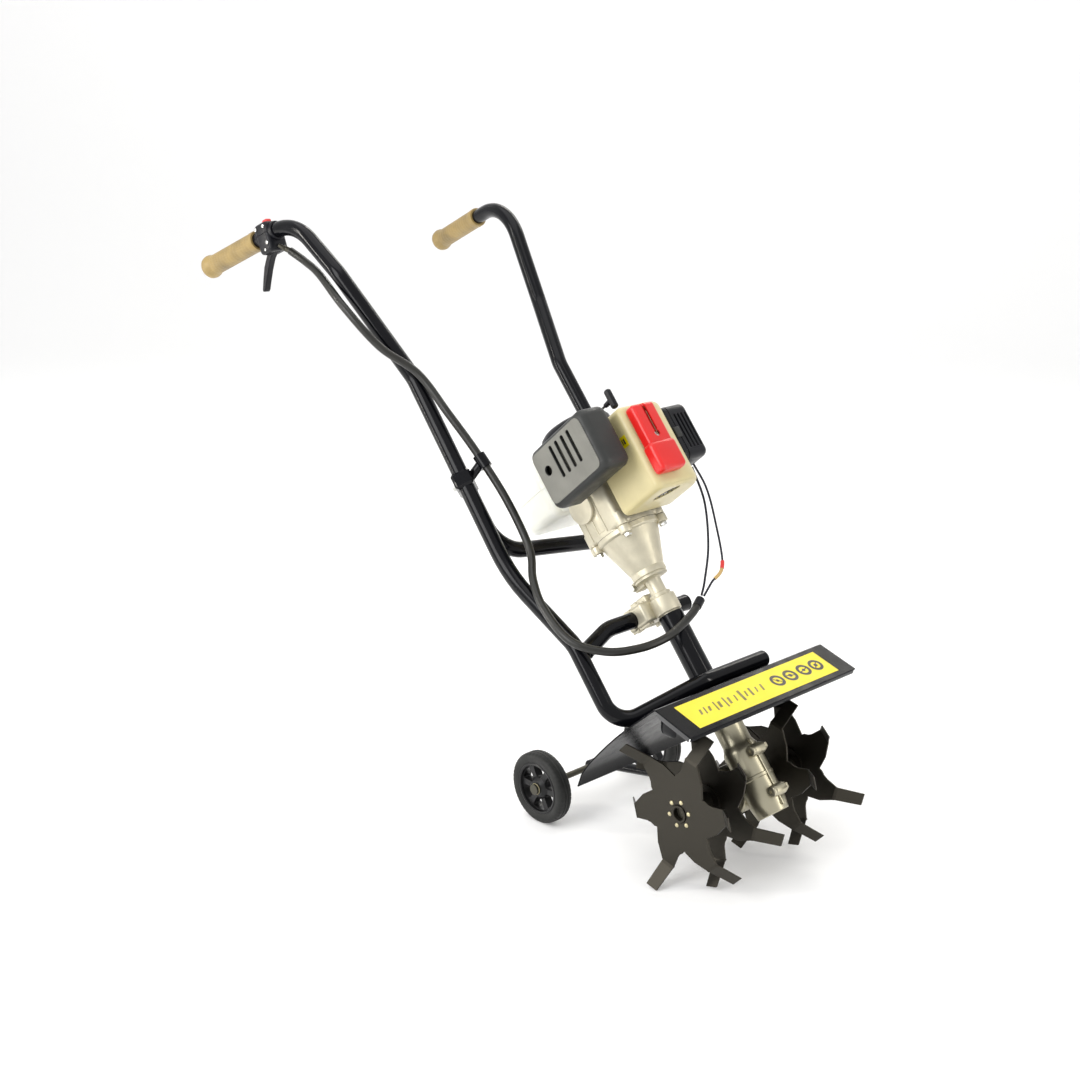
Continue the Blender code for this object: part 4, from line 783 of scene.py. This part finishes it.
class TILLER_OT_engine(PieceOperator, bpy.types.Operator):
    """Shape the engine: covers, silencer guard, air cleaner, tank and starter"""

    bl_idname = "tiller.engine"
    bl_label = "Engine"

    def build(self, sizes):
        self.crankcase()
        self.cowl()
        self.plug_shroud()
        self.silencer()
        self.cowl_sticker()
        self.air_cleaner()
        self.fuel_tank()
        self.starter()
        self.case_bolts()

    def crankcase(self):
        case = rounded((-0.042, -0.048, 0.1186), (0.044, 0.048, 0.235), 0.008, 5)
        flange = lathe(((0, 0.1186), (0.05, 0.1186), (0.05, 0.1262), (0.0485, 0.1275), (0, 0.1275)), 72)
        lugs = [post(x, y, 0.1186, 0.14, 0.0092, 36, 0.0012) for x, y in ring_of(4, BOLT_RING, 45)]
        ribs = [rounded((x, -0.0492, 0.123), (x + 0.0022, 0.0492, 0.228), 0.0008, 2)
                for x in (-0.026, -0.008, 0.012)]
        barrel = post(0, 0, 0.119, 0.156, 0.0485, 88, 0.002)
        side = rod((-0.012, -0.048, 0.176), (-0.012, -0.054, 0.176), 0.025, 64, edge=0.0016)
        case = carve(case, flange, *lugs, *ribs, barrel, side, add=True)
        case = carve(case, post(0, 0, 0.1, 0.26, 0.0095, 40))
        publish("case_casting", case, "die_cast", stands_for="crankcase", edge=0.0005)

    def cowl(self):
        low, high, wall = 0.123, 0.258, 0.0028
        cover = plate(cowl_loop(0.0), high - low, low)
        rims = [e for e in cover.edges if abs(e.verts[0].co.z - e.verts[1].co.z) < 0.001
                and max(v.co.x for v in e.verts) > 0.0601]
        bevelled(cover, rims, 0.0095, 5)
        cover = carve(cover, plate(cowl_loop(wall), high - low - 2 * wall, low + wall))
        vents = [rounded((0.064 + 0.0105 * i, 0.044, 0.22), (0.068 + 0.0105 * i, 0.06, 0.245), 0.0012, 2)
                 for i in range(4)]
        grille_at = placed((0.118, -0.008, 0), 40, "Z")
        cover = carve(
            cover, *vents,
            rounded((0.05, 0.035, 0.164), (0.1, 0.06, 0.21), 0.002, 2),
            rounded((0.05, -0.056, 0.183), (0.107, -0.04, 0.212), 0.002, 2),
            rod((0.13, -0.02, 0.19), (0.17, -0.02, 0.19), 0.011, 40),
            moved(post(0, 0, 0.1, 0.14, 0.5, 48), grille_at @ Matrix.Diagonal((0.044, 0.02, 1, 1))),
        )
        publish("engine_cowl", cover, "cream_moulding", stands_for="cylinder_cover", edge=0.0007)
        bars = [rounded((-0.02 + 0.0066 * i, -0.01, 0.1238), (-0.0184 + 0.0066 * i, 0.01, 0.1256), 0.0004, 1)
                for i in range(7)]
        publish("cowl_grille", moved(joined(*bars), grille_at), "black_moulding")
        backing = moved(rounded((-0.0225, -0.0105, 0.1262), (0.0225, 0.0105, 0.1272), 0.0004, 1), grille_at)
        publish("cowl_grille_back", backing, "filter_foam")

    def plug_shroud(self):
        red = rounded((0.1503, -0.043, 0.15), (0.1705, 0.002, 0.248), 0.006, 5)
        wide_end = rounded((0.1503, -0.047, 0.14), (0.173, 0.004, 0.186), 0.007, 5)
        red = carve(red, wide_end, add=True)
        red = carve(
            red,
            rounded((0.14, -0.0395, 0.144), (0.168, -0.001, 0.244), 0.004, 3),
            rounded((0.164, -0.0255, 0.202), (0.176, -0.0175, 0.254), 0.003, 4),
            rod((0.164, -0.0215, 0.1975), (0.18, -0.0215, 0.1975), 0.0052, 36),
        )
        publish("plug_shroud", red, "red_moulding", stands_for="plug_cover", edge=0.0008)
        floor = rounded((0.16, -0.0275, 0.19), (0.165, -0.0155, 0.247), 0.0015, 2)
        publish("plug_shroud_floor", floor, "red_moulding")
        screw = carve(rod((0.164, -0.0215, 0.1975), (0.1672, -0.0215, 0.1975), 0.0036, 36, edge=0.0008),
                      rounded((0.1664, -0.025, 0.197), (0.168, -0.018, 0.198)),
                      rounded((0.1664, -0.022, 0.194), (0.168, -0.021, 0.201)))
        publish("shroud_screw", screw, "zinc_plate")

    def silencer(self):
        guard = rounded((0.003, -0.116, 0.1745), (0.144, -0.061, 0.2715), 0.0135, 7)
        room = rounded((0.0056, -0.1134, 0.1771), (0.1414, -0.04, 0.2689), 0.0115, 6)
        guard = carve(guard, room)
        slots = [rounded((0.055 + 0.0155 * i, -0.14, 0.2065), (0.061 + 0.0155 * i, -0.112, 0.257), 0.0024, 3)
                 for i in range(4)]
        guard = carve(guard, *slots, rod((0.033, -0.14, 0.23), (0.033, -0.112, 0.23), 0.0072, 40))
        publish("silencer_guard", guard, "guard_moulding", stands_for="muffler_guard")
        # a thin sheet on the guard's near face in a lighter grey: painted light on the lit side of the guard
        face = rounded((0.011, -0.1166, 0.1825), (0.136, -0.1154, 0.2635))
        bevelled(face, edges_along(face, 1, 0.0004), 0.0105, 6)
        openings = [rounded((0.0545 + 0.0155 * i, -0.14, 0.206), (0.0615 + 0.0155 * i, -0.112, 0.2575), 0.0026, 3)
                    for i in range(4)]
        face = carve(face, *openings, rod((0.033, -0.14, 0.23), (0.033, -0.112, 0.23), 0.0078, 40))
        publish("guard_face_painted_light", face, "guard_face_painted_light")
        boss = lathe(((0.0072, 0.0), (0.0088, 0.0006), (0.0094, 0.0), (0.0094, -0.001), (0.0072, -0.001)), 40, True)
        publish("guard_hole_rim", moved(boss, placed((0.033, -0.116, 0.23), 90)), "guard_moulding")
        muffler = rounded((0.02, -0.108, 0.183), (0.128, -0.064, 0.263), 0.008, 4)
        stub = rounded((0.062, -0.066, 0.185), (0.105, -0.0363, 0.21), 0.002, 2)
        seam = rounded((0.018, -0.087, 0.181), (0.13, -0.085, 0.265), 0.0006, 1)
        muffler = carve(muffler, stub, seam, add=True)
        publish("silencer_can", muffler, "dark_steel", stands_for="muffler", edge=0.0005)

    def cowl_sticker(self):
        sticker = rounded((0.112, -0.0483, 0.202), (0.136, -0.048, 0.219), 0.0001, 1)
        publish("cowl_sticker", sticker, "label_film")
        marks = [rounded((x, -0.0485, 0.2065), (x + w, -0.0482, 0.2145)) for x, w in
                 ((0.116, 0.0016), (0.1195, 0.0034), (0.125, 0.0016), (0.1285, 0.003))]
        publish("cowl_sticker_marks", joined(*marks), "label_ink")

    def air_cleaner(self):
        cleaner = rounded((0.025, 0.055, 0.165), (0.122, 0.113, 0.255), 0.011, 6)
        groove = carve(rounded((0.023, 0.07, 0.163), (0.124, 0.0712, 0.257)),
                       rounded((0.0264, 0.065, 0.1664), (0.1206, 0.076, 0.2536), 0.01, 5))
        inlets = [rounded((0.119, 0.078 + 0.0075 * i, 0.18), (0.126, 0.0815 + 0.0075 * i, 0.238), 0.0012, 2)
                  for i in range(4)]
        cleaner = carve(cleaner, groove, *inlets)
        ribs = [rounded((0.04, 0.111, 0.18 + 0.0135 * i), (0.107, 0.1142, 0.184 + 0.0135 * i), 0.0014, 3)
                for i in range(5)]
        knob = rod((0.0735, 0.1125, 0.244), (0.0735, 0.1146, 0.244), 0.006, 36, edge=0.001)
        publish("air_box", cleaner, "black_moulding", stands_for="air_cleaner", edge=0.0007)
        publish("air_box_ribs", joined(*ribs, knob), "black_moulding")
        latch = rounded((0.119, 0.062, 0.2), (0.1245, 0.074, 0.217), 0.0018, 3)
        publish("air_box_latch", latch, "guard_moulding")

    def fuel_tank(self):
        tank = rounded((-0.164, -0.042, 0.195), (-0.074, 0.085, 0.298), 0.016, 6)
        foot = rounded((-0.09, -0.03, 0.199), (-0.0425, 0.07, 0.231), 0.008, 4)
        neck = rod((-0.119, 0.08, 0.27), (-0.119, 0.09, 0.27), 0.014, 48)
        tank = carve(tank, foot, neck, add=True)
        publish("tank_shell", tank, "tank_moulding", stands_for="fuel_tank", sharp=40, edge=0.0008)
        seam = rounded((-0.1648, -0.0428, 0.244), (-0.0732, 0.0858, 0.2456))
        bevelled(seam, edges_along(seam, 2, 0.001), 0.016, 6)
        publish("tank_seam", seam, "tank_moulding")
        cap = lathe(((0, 0.015), (0.012, 0.015), (0.015, 0.0144), (0.0172, 0.013), (0.0182, 0.0105),
                     (0.0185, 0.004), (0.0182, 0.0006), (0.0178, 0.0003), (0, 0.0003)), 144)

        def flute(x, y, z):
            on_side = 0.0006 < z < 0.011 and x * x + y * y > 0.0003
            return 0.035 * max(0.0, cos(24 * atan2(y, x))) ** 2 if on_side else 0

        cap = moved(fluted(cap, flute), placed((-0.119, 0.09, 0.27), -90))
        publish("filler_knob", cap, "black_moulding", "filler_cap", stands_for="fuel_cap", sharp=50)

    def starter(self):
        dome = lathe(((0, 0.307), (0.03, 0.3068), (0.04, 0.3055), (0.048, 0.303), (0.054, 0.2985),
                      (0.0572, 0.293), (0.058, 0.288), (0.058, 0.2353), (0.055, 0.2353), (0.055, 0.286),
                      (0.04, 0.3015), (0, 0.3025)), 96)
        slots = [moved(rounded((0.02, -0.0022, 0.295), (0.04, 0.0022, 0.312), 0.0015, 2),
                       Matrix.Rotation(radians(30 * k), 4, "Z")) for k in range(12)]
        dome = carve(dome, *slots)
        publish("recoil_cover", dome, "black_moulding", stands_for="starter_housing", edge=0.0005)
        guide = rod((0.056, 0, ROPE_Z), (0.061, 0, ROPE_Z), 0.0058, 32, edge=0.001)
        guide = carve(guide, rod((0.05, 0, ROPE_Z), (0.08, 0, ROPE_Z), 0.0024, 24))
        publish("rope_guide", guide, "black_moulding")
        grip = carve(rounded((0.0935, -0.005, 0.276), (0.1045, 0.005, 0.308), 0.0042, 5),
                     rod((0.082, 0, ROPE_Z), (0.096, 0, ROPE_Z), 0.0036, 32, top=0.0048), add=True)
        rope = swept([Vector((x, 0, ROPE_Z)) for x in (0.06, 0.075, 0.09)], 0.0018, 6)
        publish("recoil_grip", grip, "black_moulding", "starter_pull", stands_for="starter_grip")
        publish("recoil_rope", rope, "sheath_vinyl", "starter_pull")

    def case_bolts(self):
        bolts = [rod((0.0421, y, 0.133), (0.0481, y, 0.133), 0.0042, 6, edge=0.0005) for y in (-0.03, 0.03)]
        for k, (x, y) in enumerate(ring_of(4, BOLT_RING, 45)):
            if k not in (1, 2):  # those two are the frame's own
                bolts.append(post(x, y, 0.1, 0.1058, 0.006, 6, 0.0006))
            bolts.append(post(x, y, 0.14, 0.144, 0.005, 6, 0.0005))
        publish("case_bolts", joined(*bolts), "zinc_plate")


class TILLER_OT_gearbox(PieceOperator, bpy.types.Operator):
    """Cast the two gearbox halves and their bosses"""

    bl_idname = "tiller.gearbox"
    bl_label = "Gearbox"

    def build(self, sizes):
        for side, node in ((-1, "gearbox_right"), (1, "gearbox_left")):
            shape = lathe(((0, -0.195), (0.0222, -0.195), (0.0232, -0.1962), (0.0232, -0.205), (0.0222, -0.2065),
                           (0.0222, -0.235), (0.024, -0.24), (0.0268, -0.245), (0.0275, -0.25),
                           (0.0275, -0.288), (0.0286, -0.289), (0.0286, -0.293), (0.0275, -0.294),
                           (0.0275, -0.328), (0.0268, -0.333), (0.0245, -0.347), (0.0235, -0.348), (0, -0.348)), 88)
            extras = [
                cross_rod(SHAFT_X, SHAFT_Z, 0.0245, 0.0365, 88, 0.0022),
                cross_rod(SHAFT_X, SHAFT_Z, 0.027, 0.0175, 64, 0.0014),
                rounded((SHAFT_X, -0.02, SHAFT_Z - 0.032), (0.0, 0.02, SHAFT_Z + 0.033), 0.005, 4),
                rounded((0.0, -0.0022, -0.342), (0.03, 0.0022, -0.238), 0.001, 2),
            ]
            extras += [cross_rod(0.031, z, 0.0105, 0.0088, 44, 0.0014) for z in GEAR_BOLTS_Z]
            shape = carve(shape, *extras, add=True)
            gap = 0.00012
            other_half = (-gap, 0.2) if side < 0 else (-0.2, gap)
            tools = [
                post(0, 0, -0.2325, -0.15, 0.0192, 72),
                post(0, 0, -0.3, -0.2, 0.0046, 32),
                post(0, 0, -0.335, -0.25, 0.015, 48),
                cross_rod(SHAFT_X, SHAFT_Z, 0.0125, 0.0332, 64),
                cross_rod(SHAFT_X, SHAFT_Z, 0.05, 0.0094, 48),
                rounded((-0.2, other_half[0], -0.5), (0.2, other_half[1], 0.1)),
            ]
            tools += [cross_rod(GEAR_BOLT_X, z, 0.03, 0.0028, 24) for z in GEAR_BOLTS_Z]
            shape = carve(shape, *tools)
            publish(f"{node}_casting", shape, "gearbox_cast", stands_for=node, edge=0.0005)
        x = GEAR_BOLT_X
        for z, node in zip(GEAR_BOLTS_Z, ("gearbox_bolt_upper", "gearbox_bolt_lower")):
            shank = rod((x, -0.012, z), (x, 0.0155, z), 0.0025, 24)
            head = rod((x, -0.017, z), (x, -0.0108, z), 0.008, 48, edge=0.0016)
            nut = rod((x, 0.0108, z), (x, 0.015, z), 0.0064, 6, edge=0.0005)
            bolt = carve(shank, head, nut, add=True)
            bolt = carve(bolt, rod((x, -0.018, z), (x, -0.015, z), 0.0034, 6))
            publish(f"{node}_head", bolt, "gearbox_cast", stands_for=node)


TIP_TURN = 0.04  # a tip sits this far ahead of its arm, in radians
FOLD = 0.088  # the fold's distance from the shaft


def star(blades, reach, phase):
    """A rotor's outline: arms with one long leading edge, a steep trailing edge and square tips."""
    loop = []
    shape = ((0.056, -0.6), (0.072, -0.33), (0.0895, -0.085), (reach, -0.045), (reach, 0.125), (0.0895, 0.165),
             (0.07, 0.24), (0.064, 0.3), (0.06, 0.4))
    for k in range(blades):
        turn = phase + 2 * pi * k / blades
        loop += [(radius * cos(turn + angle), radius * sin(turn + angle)) for radius, angle in shape]
    return loop


def fold_tips(bm, sizes, phase):
    """Fold the tips along straight lines, in turn to each side of the plate."""
    for k in range(sizes.blades):
        turn = phase + 2 * pi * k / sizes.blades + TIP_TURN
        out = Vector((cos(turn), sin(turn), 0))
        for line in (FOLD - 0.0015, FOLD + 0.0025):
            whole = bm.verts[:] + bm.edges[:] + bm.faces[:]
            bmesh.ops.bisect_plane(bm, geom=whole, plane_co=out * line, plane_no=out)
        way = 1 if k % 2 == 0 else -1
        slope = sizes.tip_reach / (sizes.tine_radius - FOLD)
        for vert in bm.verts:
            past = vert.co.dot(out) - FOLD
            if past > 0.002 and vert.co.xy.angle(out.xy) < pi / sizes.blades:
                vert.co.z += way * slope * past


class TILLER_OT_rotors(PieceOperator, bpy.types.Operator):
    """Press the four bladed rotors and turn their hubs and rivets"""

    bl_idname = "tiller.rotors"
    bl_label = "Rotors"

    def build(self, sizes):
        thick, half = 0.003, 0.0015
        for side, tag, phases in ((-1, "right", (-104.6, -75.4)), (1, "left", (-75.4, -104.6))):
            for far, row, phase in ((0.122, "outer", phases[0]), (0.0615, "inner", phases[1])):
                bm = carve(plate(star(sizes.blades, sizes.tine_radius, radians(phase)), thick),
                           post(0, 0, -1, 1, 0.0136, 48))
                fold_tips(bm, sizes, radians(phase))
                node = f"rotor_{tag}_{row}"
                # the blades' lighter edges are partly wear and partly a painted highlight
                publish(f"{node}_blades", bm, "tine_steel", "tines", stands_for=node, sharp=12, edge=0.0007,
                        place=placed((TINE_AT.x, side * far, TINE_AT.z), 90))
            end, inn = 0.122 + half, 0.0615 + half
            hub = lathe(((0.0132, end + 0.0014), (0.0126, end + 0.002), (0.01, end + 0.002), (0.0093, end + 0.0012),
                         (0.0093, 0.028), (0.0132, 0.028), (0.0132, inn), (0.025, inn), (0.025, inn + 0.0035),
                         (0.015, inn + 0.0045), (0.015, end - thick - 0.0045), (0.025, end - thick - 0.0035),
                         (0.025, end - thick), (0.0132, end - thick)), 72, True)
            turn = Matrix.Rotation(radians(-90 * side), 4, "X")
            place = Matrix.Translation((TINE_AT.x, 0, TINE_AT.z)) @ turn
            publish(f"hub_{tag}_sleeve", hub, "tine_steel", "tines", stands_for=f"hub_{tag}", place=place, sharp=40)
            dome = [(max(0.0, 0.0034 * cos(radians(a))), 0.002 * sin(radians(a))) for a in (90, 65, 40, 18, 0)]
            dome += [(0.0034, -0.0003), (0, -0.0003)]
            rivets = [moved(lathe(dome, 20), Matrix.Translation((TINE_AT.x + x, side * row, TINE_AT.z + z)) @ turn)
                      for row in (end, inn) for x, z in ring_of(6, 0.019, 20)]
            publish(f"rivets_{tag}", joined(*rivets), "rivet_steel", "tines", place=WORLD)


class TILLER_OT_fender(PieceOperator, bpy.types.Operator):
    """Bend the fender sheet, with its lips, bracket and label"""

    bl_idname = "tiller.fender"
    bl_label = "Fender"

    def build(self, sizes):
        side = ((0.4935, 0.277), (0.4305, 0.29505), (0.4282, 0.2957), (0.4262, 0.2951), (0.4244, 0.2936),
                (0.413, 0.2835), (0.3938, 0.2664), (0.3739, 0.2489), (0.356, 0.2316), (0.3389, 0.2138),
                (0.3205, 0.1935), (0.3029, 0.1728), (0.294, 0.1605), (0.2864, 0.1492), (0.2784, 0.1268))
        half_width = 0.179
        bm = sheet([(x, -half_width, z) for x, z in side], (0, 2 * half_width, 0))
        if sum(f.normal.z for f in bm.faces) < 0:
            bmesh.ops.reverse_faces(bm, faces=bm.faces)
        bmesh.ops.solidify(bm, geom=bm.faces[:], thickness=-0.002)
        hole = moved(post(0, 0, -0.2, -0.1, 0.0235, 56), DRIVE)
        bm = carve(bm, hole)
        publish("fender_sheet", bm, "fender_enamel", stands_for="fender", place=WORLD, edge=0.0006, sharp=30)
        (front_x, front_z), (crest_x, crest_z) = side[0], side[2]
        slope = Vector((front_x - crest_x, 0, front_z - crest_z))
        plane = Matrix.Translation((crest_x, 0, crest_z)) @ Matrix.Rotation(atan2(-slope.z, slope.x), 4, "Y")
        long = slope.length
        # the side lips take a lighter, glossier black: a painted highlight along the fender's edges
        for tag, y in (("right", -0.179), ("left", 0.1775)):
            lip = rounded((0.003, y, -0.0062), (long - 0.002, y + 0.0015, 0.0012), 0.0005, 2)
            publish(f"fender_lip_{tag}", lip, "lip_enamel_painted_highlight", place=plane)
        front = rounded((long - 0.0016, -0.176, -0.006), (long, 0.176, 0.0018), 0.0005, 2)
        publish("fender_lip_front", front, "fender_enamel", place=plane)
        film = rounded((0.0075, -0.15, 0.0021), (0.0585, 0.15, 0.0023), 0.00005, 1)
        publish("fender_label", film, "label_film", place=plane)
        top, thin, middle = 0.0023, 0.0002, 0.033
        spots = [Matrix.Translation((middle, y, 0)) for y in (0.0405, 0.069, 0.099, 0.1265)]
        marks = [carve(moved(plate(circle(0.0122, 40), thin, top), spot),
                       moved(plate(circle(0.0074, 40), 0.01, -0.002), spot)) for spot in spots]
        for k, spot in enumerate(spots):
            marks.append(moved(plate(circle(0.0028 + 0.0006 * (k % 2), 24), thin, top), spot))
            bar = plate(((-0.007, -0.0009), (0.007, -0.0009), (0.007, 0.0009), (-0.007, 0.0009)), 0.00021, top)
            marks.append(moved(bar, spot @ Matrix.Rotation(radians(45 + 30 * k), 4, "Z")))
        publish("fender_label_rings", joined(*marks), "label_ink", place=plane)
        marks = []
        for y, wide, tall in ((-0.124, 0.004, 0.01), (-0.115, 0.0026, 0.013), (-0.106, 0.0044, 0.009),
                              (-0.0935, 0.0026, 0.018), (-0.085, 0.0052, 0.012), (-0.0735, 0.003, 0.02),
                              (-0.065, 0.0044, 0.013), (-0.052, 0.0026, 0.012), (-0.04, 0.0048, 0.022),
                              (-0.03, 0.003, 0.011), (-0.02, 0.004, 0.016), (-0.008, 0.0026, 0.01),
                              (0.004, 0.0034, 0.013)):
            up, down, lean = middle + tall / 2, middle - tall / 2, 0.004
            marks.append(plate(((up, y - wide / 2), (up, y + wide / 2), (down, y + wide / 2 + lean),
                                (down, y - wide / 2 + lean)), thin, top))
        publish("fender_label_marks", joined(*marks), "label_print", place=plane)
        bracket = rounded((0.404, -0.148, 0.242), (0.44, -0.11, 0.279), 0.012, 6)
        bracket = carve(bracket, rounded((0.39, -0.144, 0.23), (0.45, -0.114, 0.275), 0.009, 4))
        publish("fender_bracket", bracket, "gloss_black_enamel", place=WORLD)
        washers = [moved(washer(0.0033, 0.0078, 0.0082, 0.0006), Matrix.Translation((FOOT_X, y, -0.1612)))
                   for y in (-0.085, 0.085)]
        publish("fender_washers", joined(*washers), "zinc_plate")


class TILLER_OT_wheels(PieceOperator, bpy.types.Operator):
    """Make the two transport wheels and dress the axle"""

    bl_idname = "tiller.wheels"
    bl_label = "Wheels"

    def build(self, sizes):
        radius, half, seat = sizes.wheel_radius, 0.013, 0.0412
        for side, tag in ((-1, "right"), (1, "left")):
            at = placed((AXLE_X, side * 0.123, AXLE_Z), -90)
            section = [(seat, half - 0.0022), (seat + 0.004, half - 0.0006), (seat + 0.0075, half)]
            section += [(radius - 0.0072 + 0.0072 * sin(radians(a)), half - 0.0072 + 0.0072 * cos(radians(a)))
                        for a in (15, 30, 45, 60, 75)]
            section += [(radius, half - 0.0085), (radius, 0.0042), (radius - 0.0011, 0.0034),
                        (radius - 0.0011, 0.0024), (radius, 0.0016)]
            section += [(r, -z) for r, z in reversed(section)]

            def tread(x, y, z):
                on_tread = (x * x + y * y) ** 0.5 > radius - 0.0045 and abs(z) > 0.0045
                return 0.01 * max(0.0, cos(48 * atan2(y, x))) ** 4 if on_tread else 0

            publish(f"tyre_{tag}_tread", fluted(lathe(section, 192, True), tread), "tyre_rubber", f"wheel_{tag}",
                    stands_for=f"tyre_{tag}", place=at, sharp=50)
            disc = [(seat - 0.0001, half - 0.002), (seat - 0.0016, half - 0.0012), (seat - 0.004, half - 0.0018),
                    (seat - 0.005, half - 0.006), (0.018, half - 0.0066), (0.014, half - 0.0022),
                    (0.0125, half - 0.0008), (0.0056, half - 0.0008)]
            rim = lathe(disc + [(r, -z) for r, z in reversed(disc)], 96, True)
            windows = []
            for k in range(sizes.spokes):
                mid = 2 * pi * k / sizes.spokes + pi / sizes.spokes
                inner = [(0.0172 * cos(mid + a), 0.0172 * sin(mid + a)) for a in (-0.26, -0.1, 0.1, 0.26)]
                outer = [(0.0352 * cos(mid + a), 0.0352 * sin(mid + a))
                         for a in (0.38, 0.26, 0.13, 0, -0.13, -0.26, -0.38)]
                window = plate(inner + outer, 0.06)
                uprights = [e for e in edges_along(window, 2, 0.01) if e.calc_face_angle(0) > 0.7]
                windows.append(bevelled(window, uprights, 0.0022, 3))
            publish(f"rim_{tag}_disc", carve(rim, *windows), "rim_moulding", f"wheel_{tag}",
                    stands_for=f"rim_{tag}", place=at, edge=0.0007)
            ring = moved(washer(0.0052, 0.0088, 0.0091, 0.0005), placed((AXLE_X, side * 0.1363, AXLE_Z), 90))
            nut = rod((AXLE_X, side * 0.136, AXLE_Z), (AXLE_X, side * 0.1402, AXLE_Z), 0.0068, 6, edge=0.0007)
            publish(f"wheel_nut_{tag}", joined(ring, nut), "rivet_steel", place=WORLD)


class TILLER_OT_kept_pieces(PieceOperator, bpy.types.Operator):
    """Round off and finish the pieces whose shape the frame already gives"""

    bl_idname = "tiller.kept_pieces"
    bl_label = "Kept pieces"

    def build(self, sizes):
        for node, obj in sorted(frame["nodes"].items()):
            if obj.hide_render:
                continue
            bm = bmesh.new()
            bm.from_mesh(obj.data)
            bmesh.ops.remove_doubles(bm, verts=bm.verts, dist=0.00001)
            bmesh.ops.dissolve_limit(bm, angle_limit=radians(1.0), verts=bm.verts[:], edges=bm.edges[:])
            look = CARRIED[SLOTS[node]]
            publish(f"{node}_finished", bm, look, BODY_OF[node], stands_for=node, place=WORLD, edge=0.0003,
                    sharp=38)


class TILLER_PT_panel(bpy.types.Panel):
    """The tiller's pieces, in building order"""

    bl_idname = "TILLER_PT_panel"
    bl_label = "Mini tiller"
    bl_space_type = "VIEW_3D"
    bl_region_type = "UI"
    bl_category = "Tiller"

    def draw(self, context):
        column = self.layout.column(align=True)
        for name in TillerSizes.__annotations__:
            column.prop(context.scene.tiller_sizes, name)
        for name in TillerStage.__annotations__:
            column.prop(context.scene.tiller_stage, name)
        for made in OPERATORS:
            column.operator(made.bl_idname)


OPERATORS = (
    TILLER_OT_stage,
    TILLER_OT_cables,
    TILLER_OT_handles,
    TILLER_OT_grips,
    TILLER_OT_throttle,
    TILLER_OT_drive_line,
    TILLER_OT_engine,
    TILLER_OT_gearbox,
    TILLER_OT_rotors,
    TILLER_OT_fender,
    TILLER_OT_wheels,
    TILLER_OT_kept_pieces,
)
CLASSES = (TillerSizes, TillerStage) + OPERATORS + (TILLER_PT_panel,)


def register():
    for made in CLASSES:
        bpy.utils.register_class(made)
    bpy.types.Scene.tiller_sizes = PointerProperty(type=TillerSizes)
    bpy.types.Scene.tiller_stage = PointerProperty(type=TillerStage)


def unregister():
    del bpy.types.Scene.tiller_stage
    del bpy.types.Scene.tiller_sizes
    for made in reversed(CLASSES):
        bpy.utils.unregister_class(made)


def main():
    register()
    for made in OPERATORS:
        group, name = made.bl_idname.split(".")
        getattr(getattr(bpy.ops, group), name)()


if __name__ == "__main__":
    main()
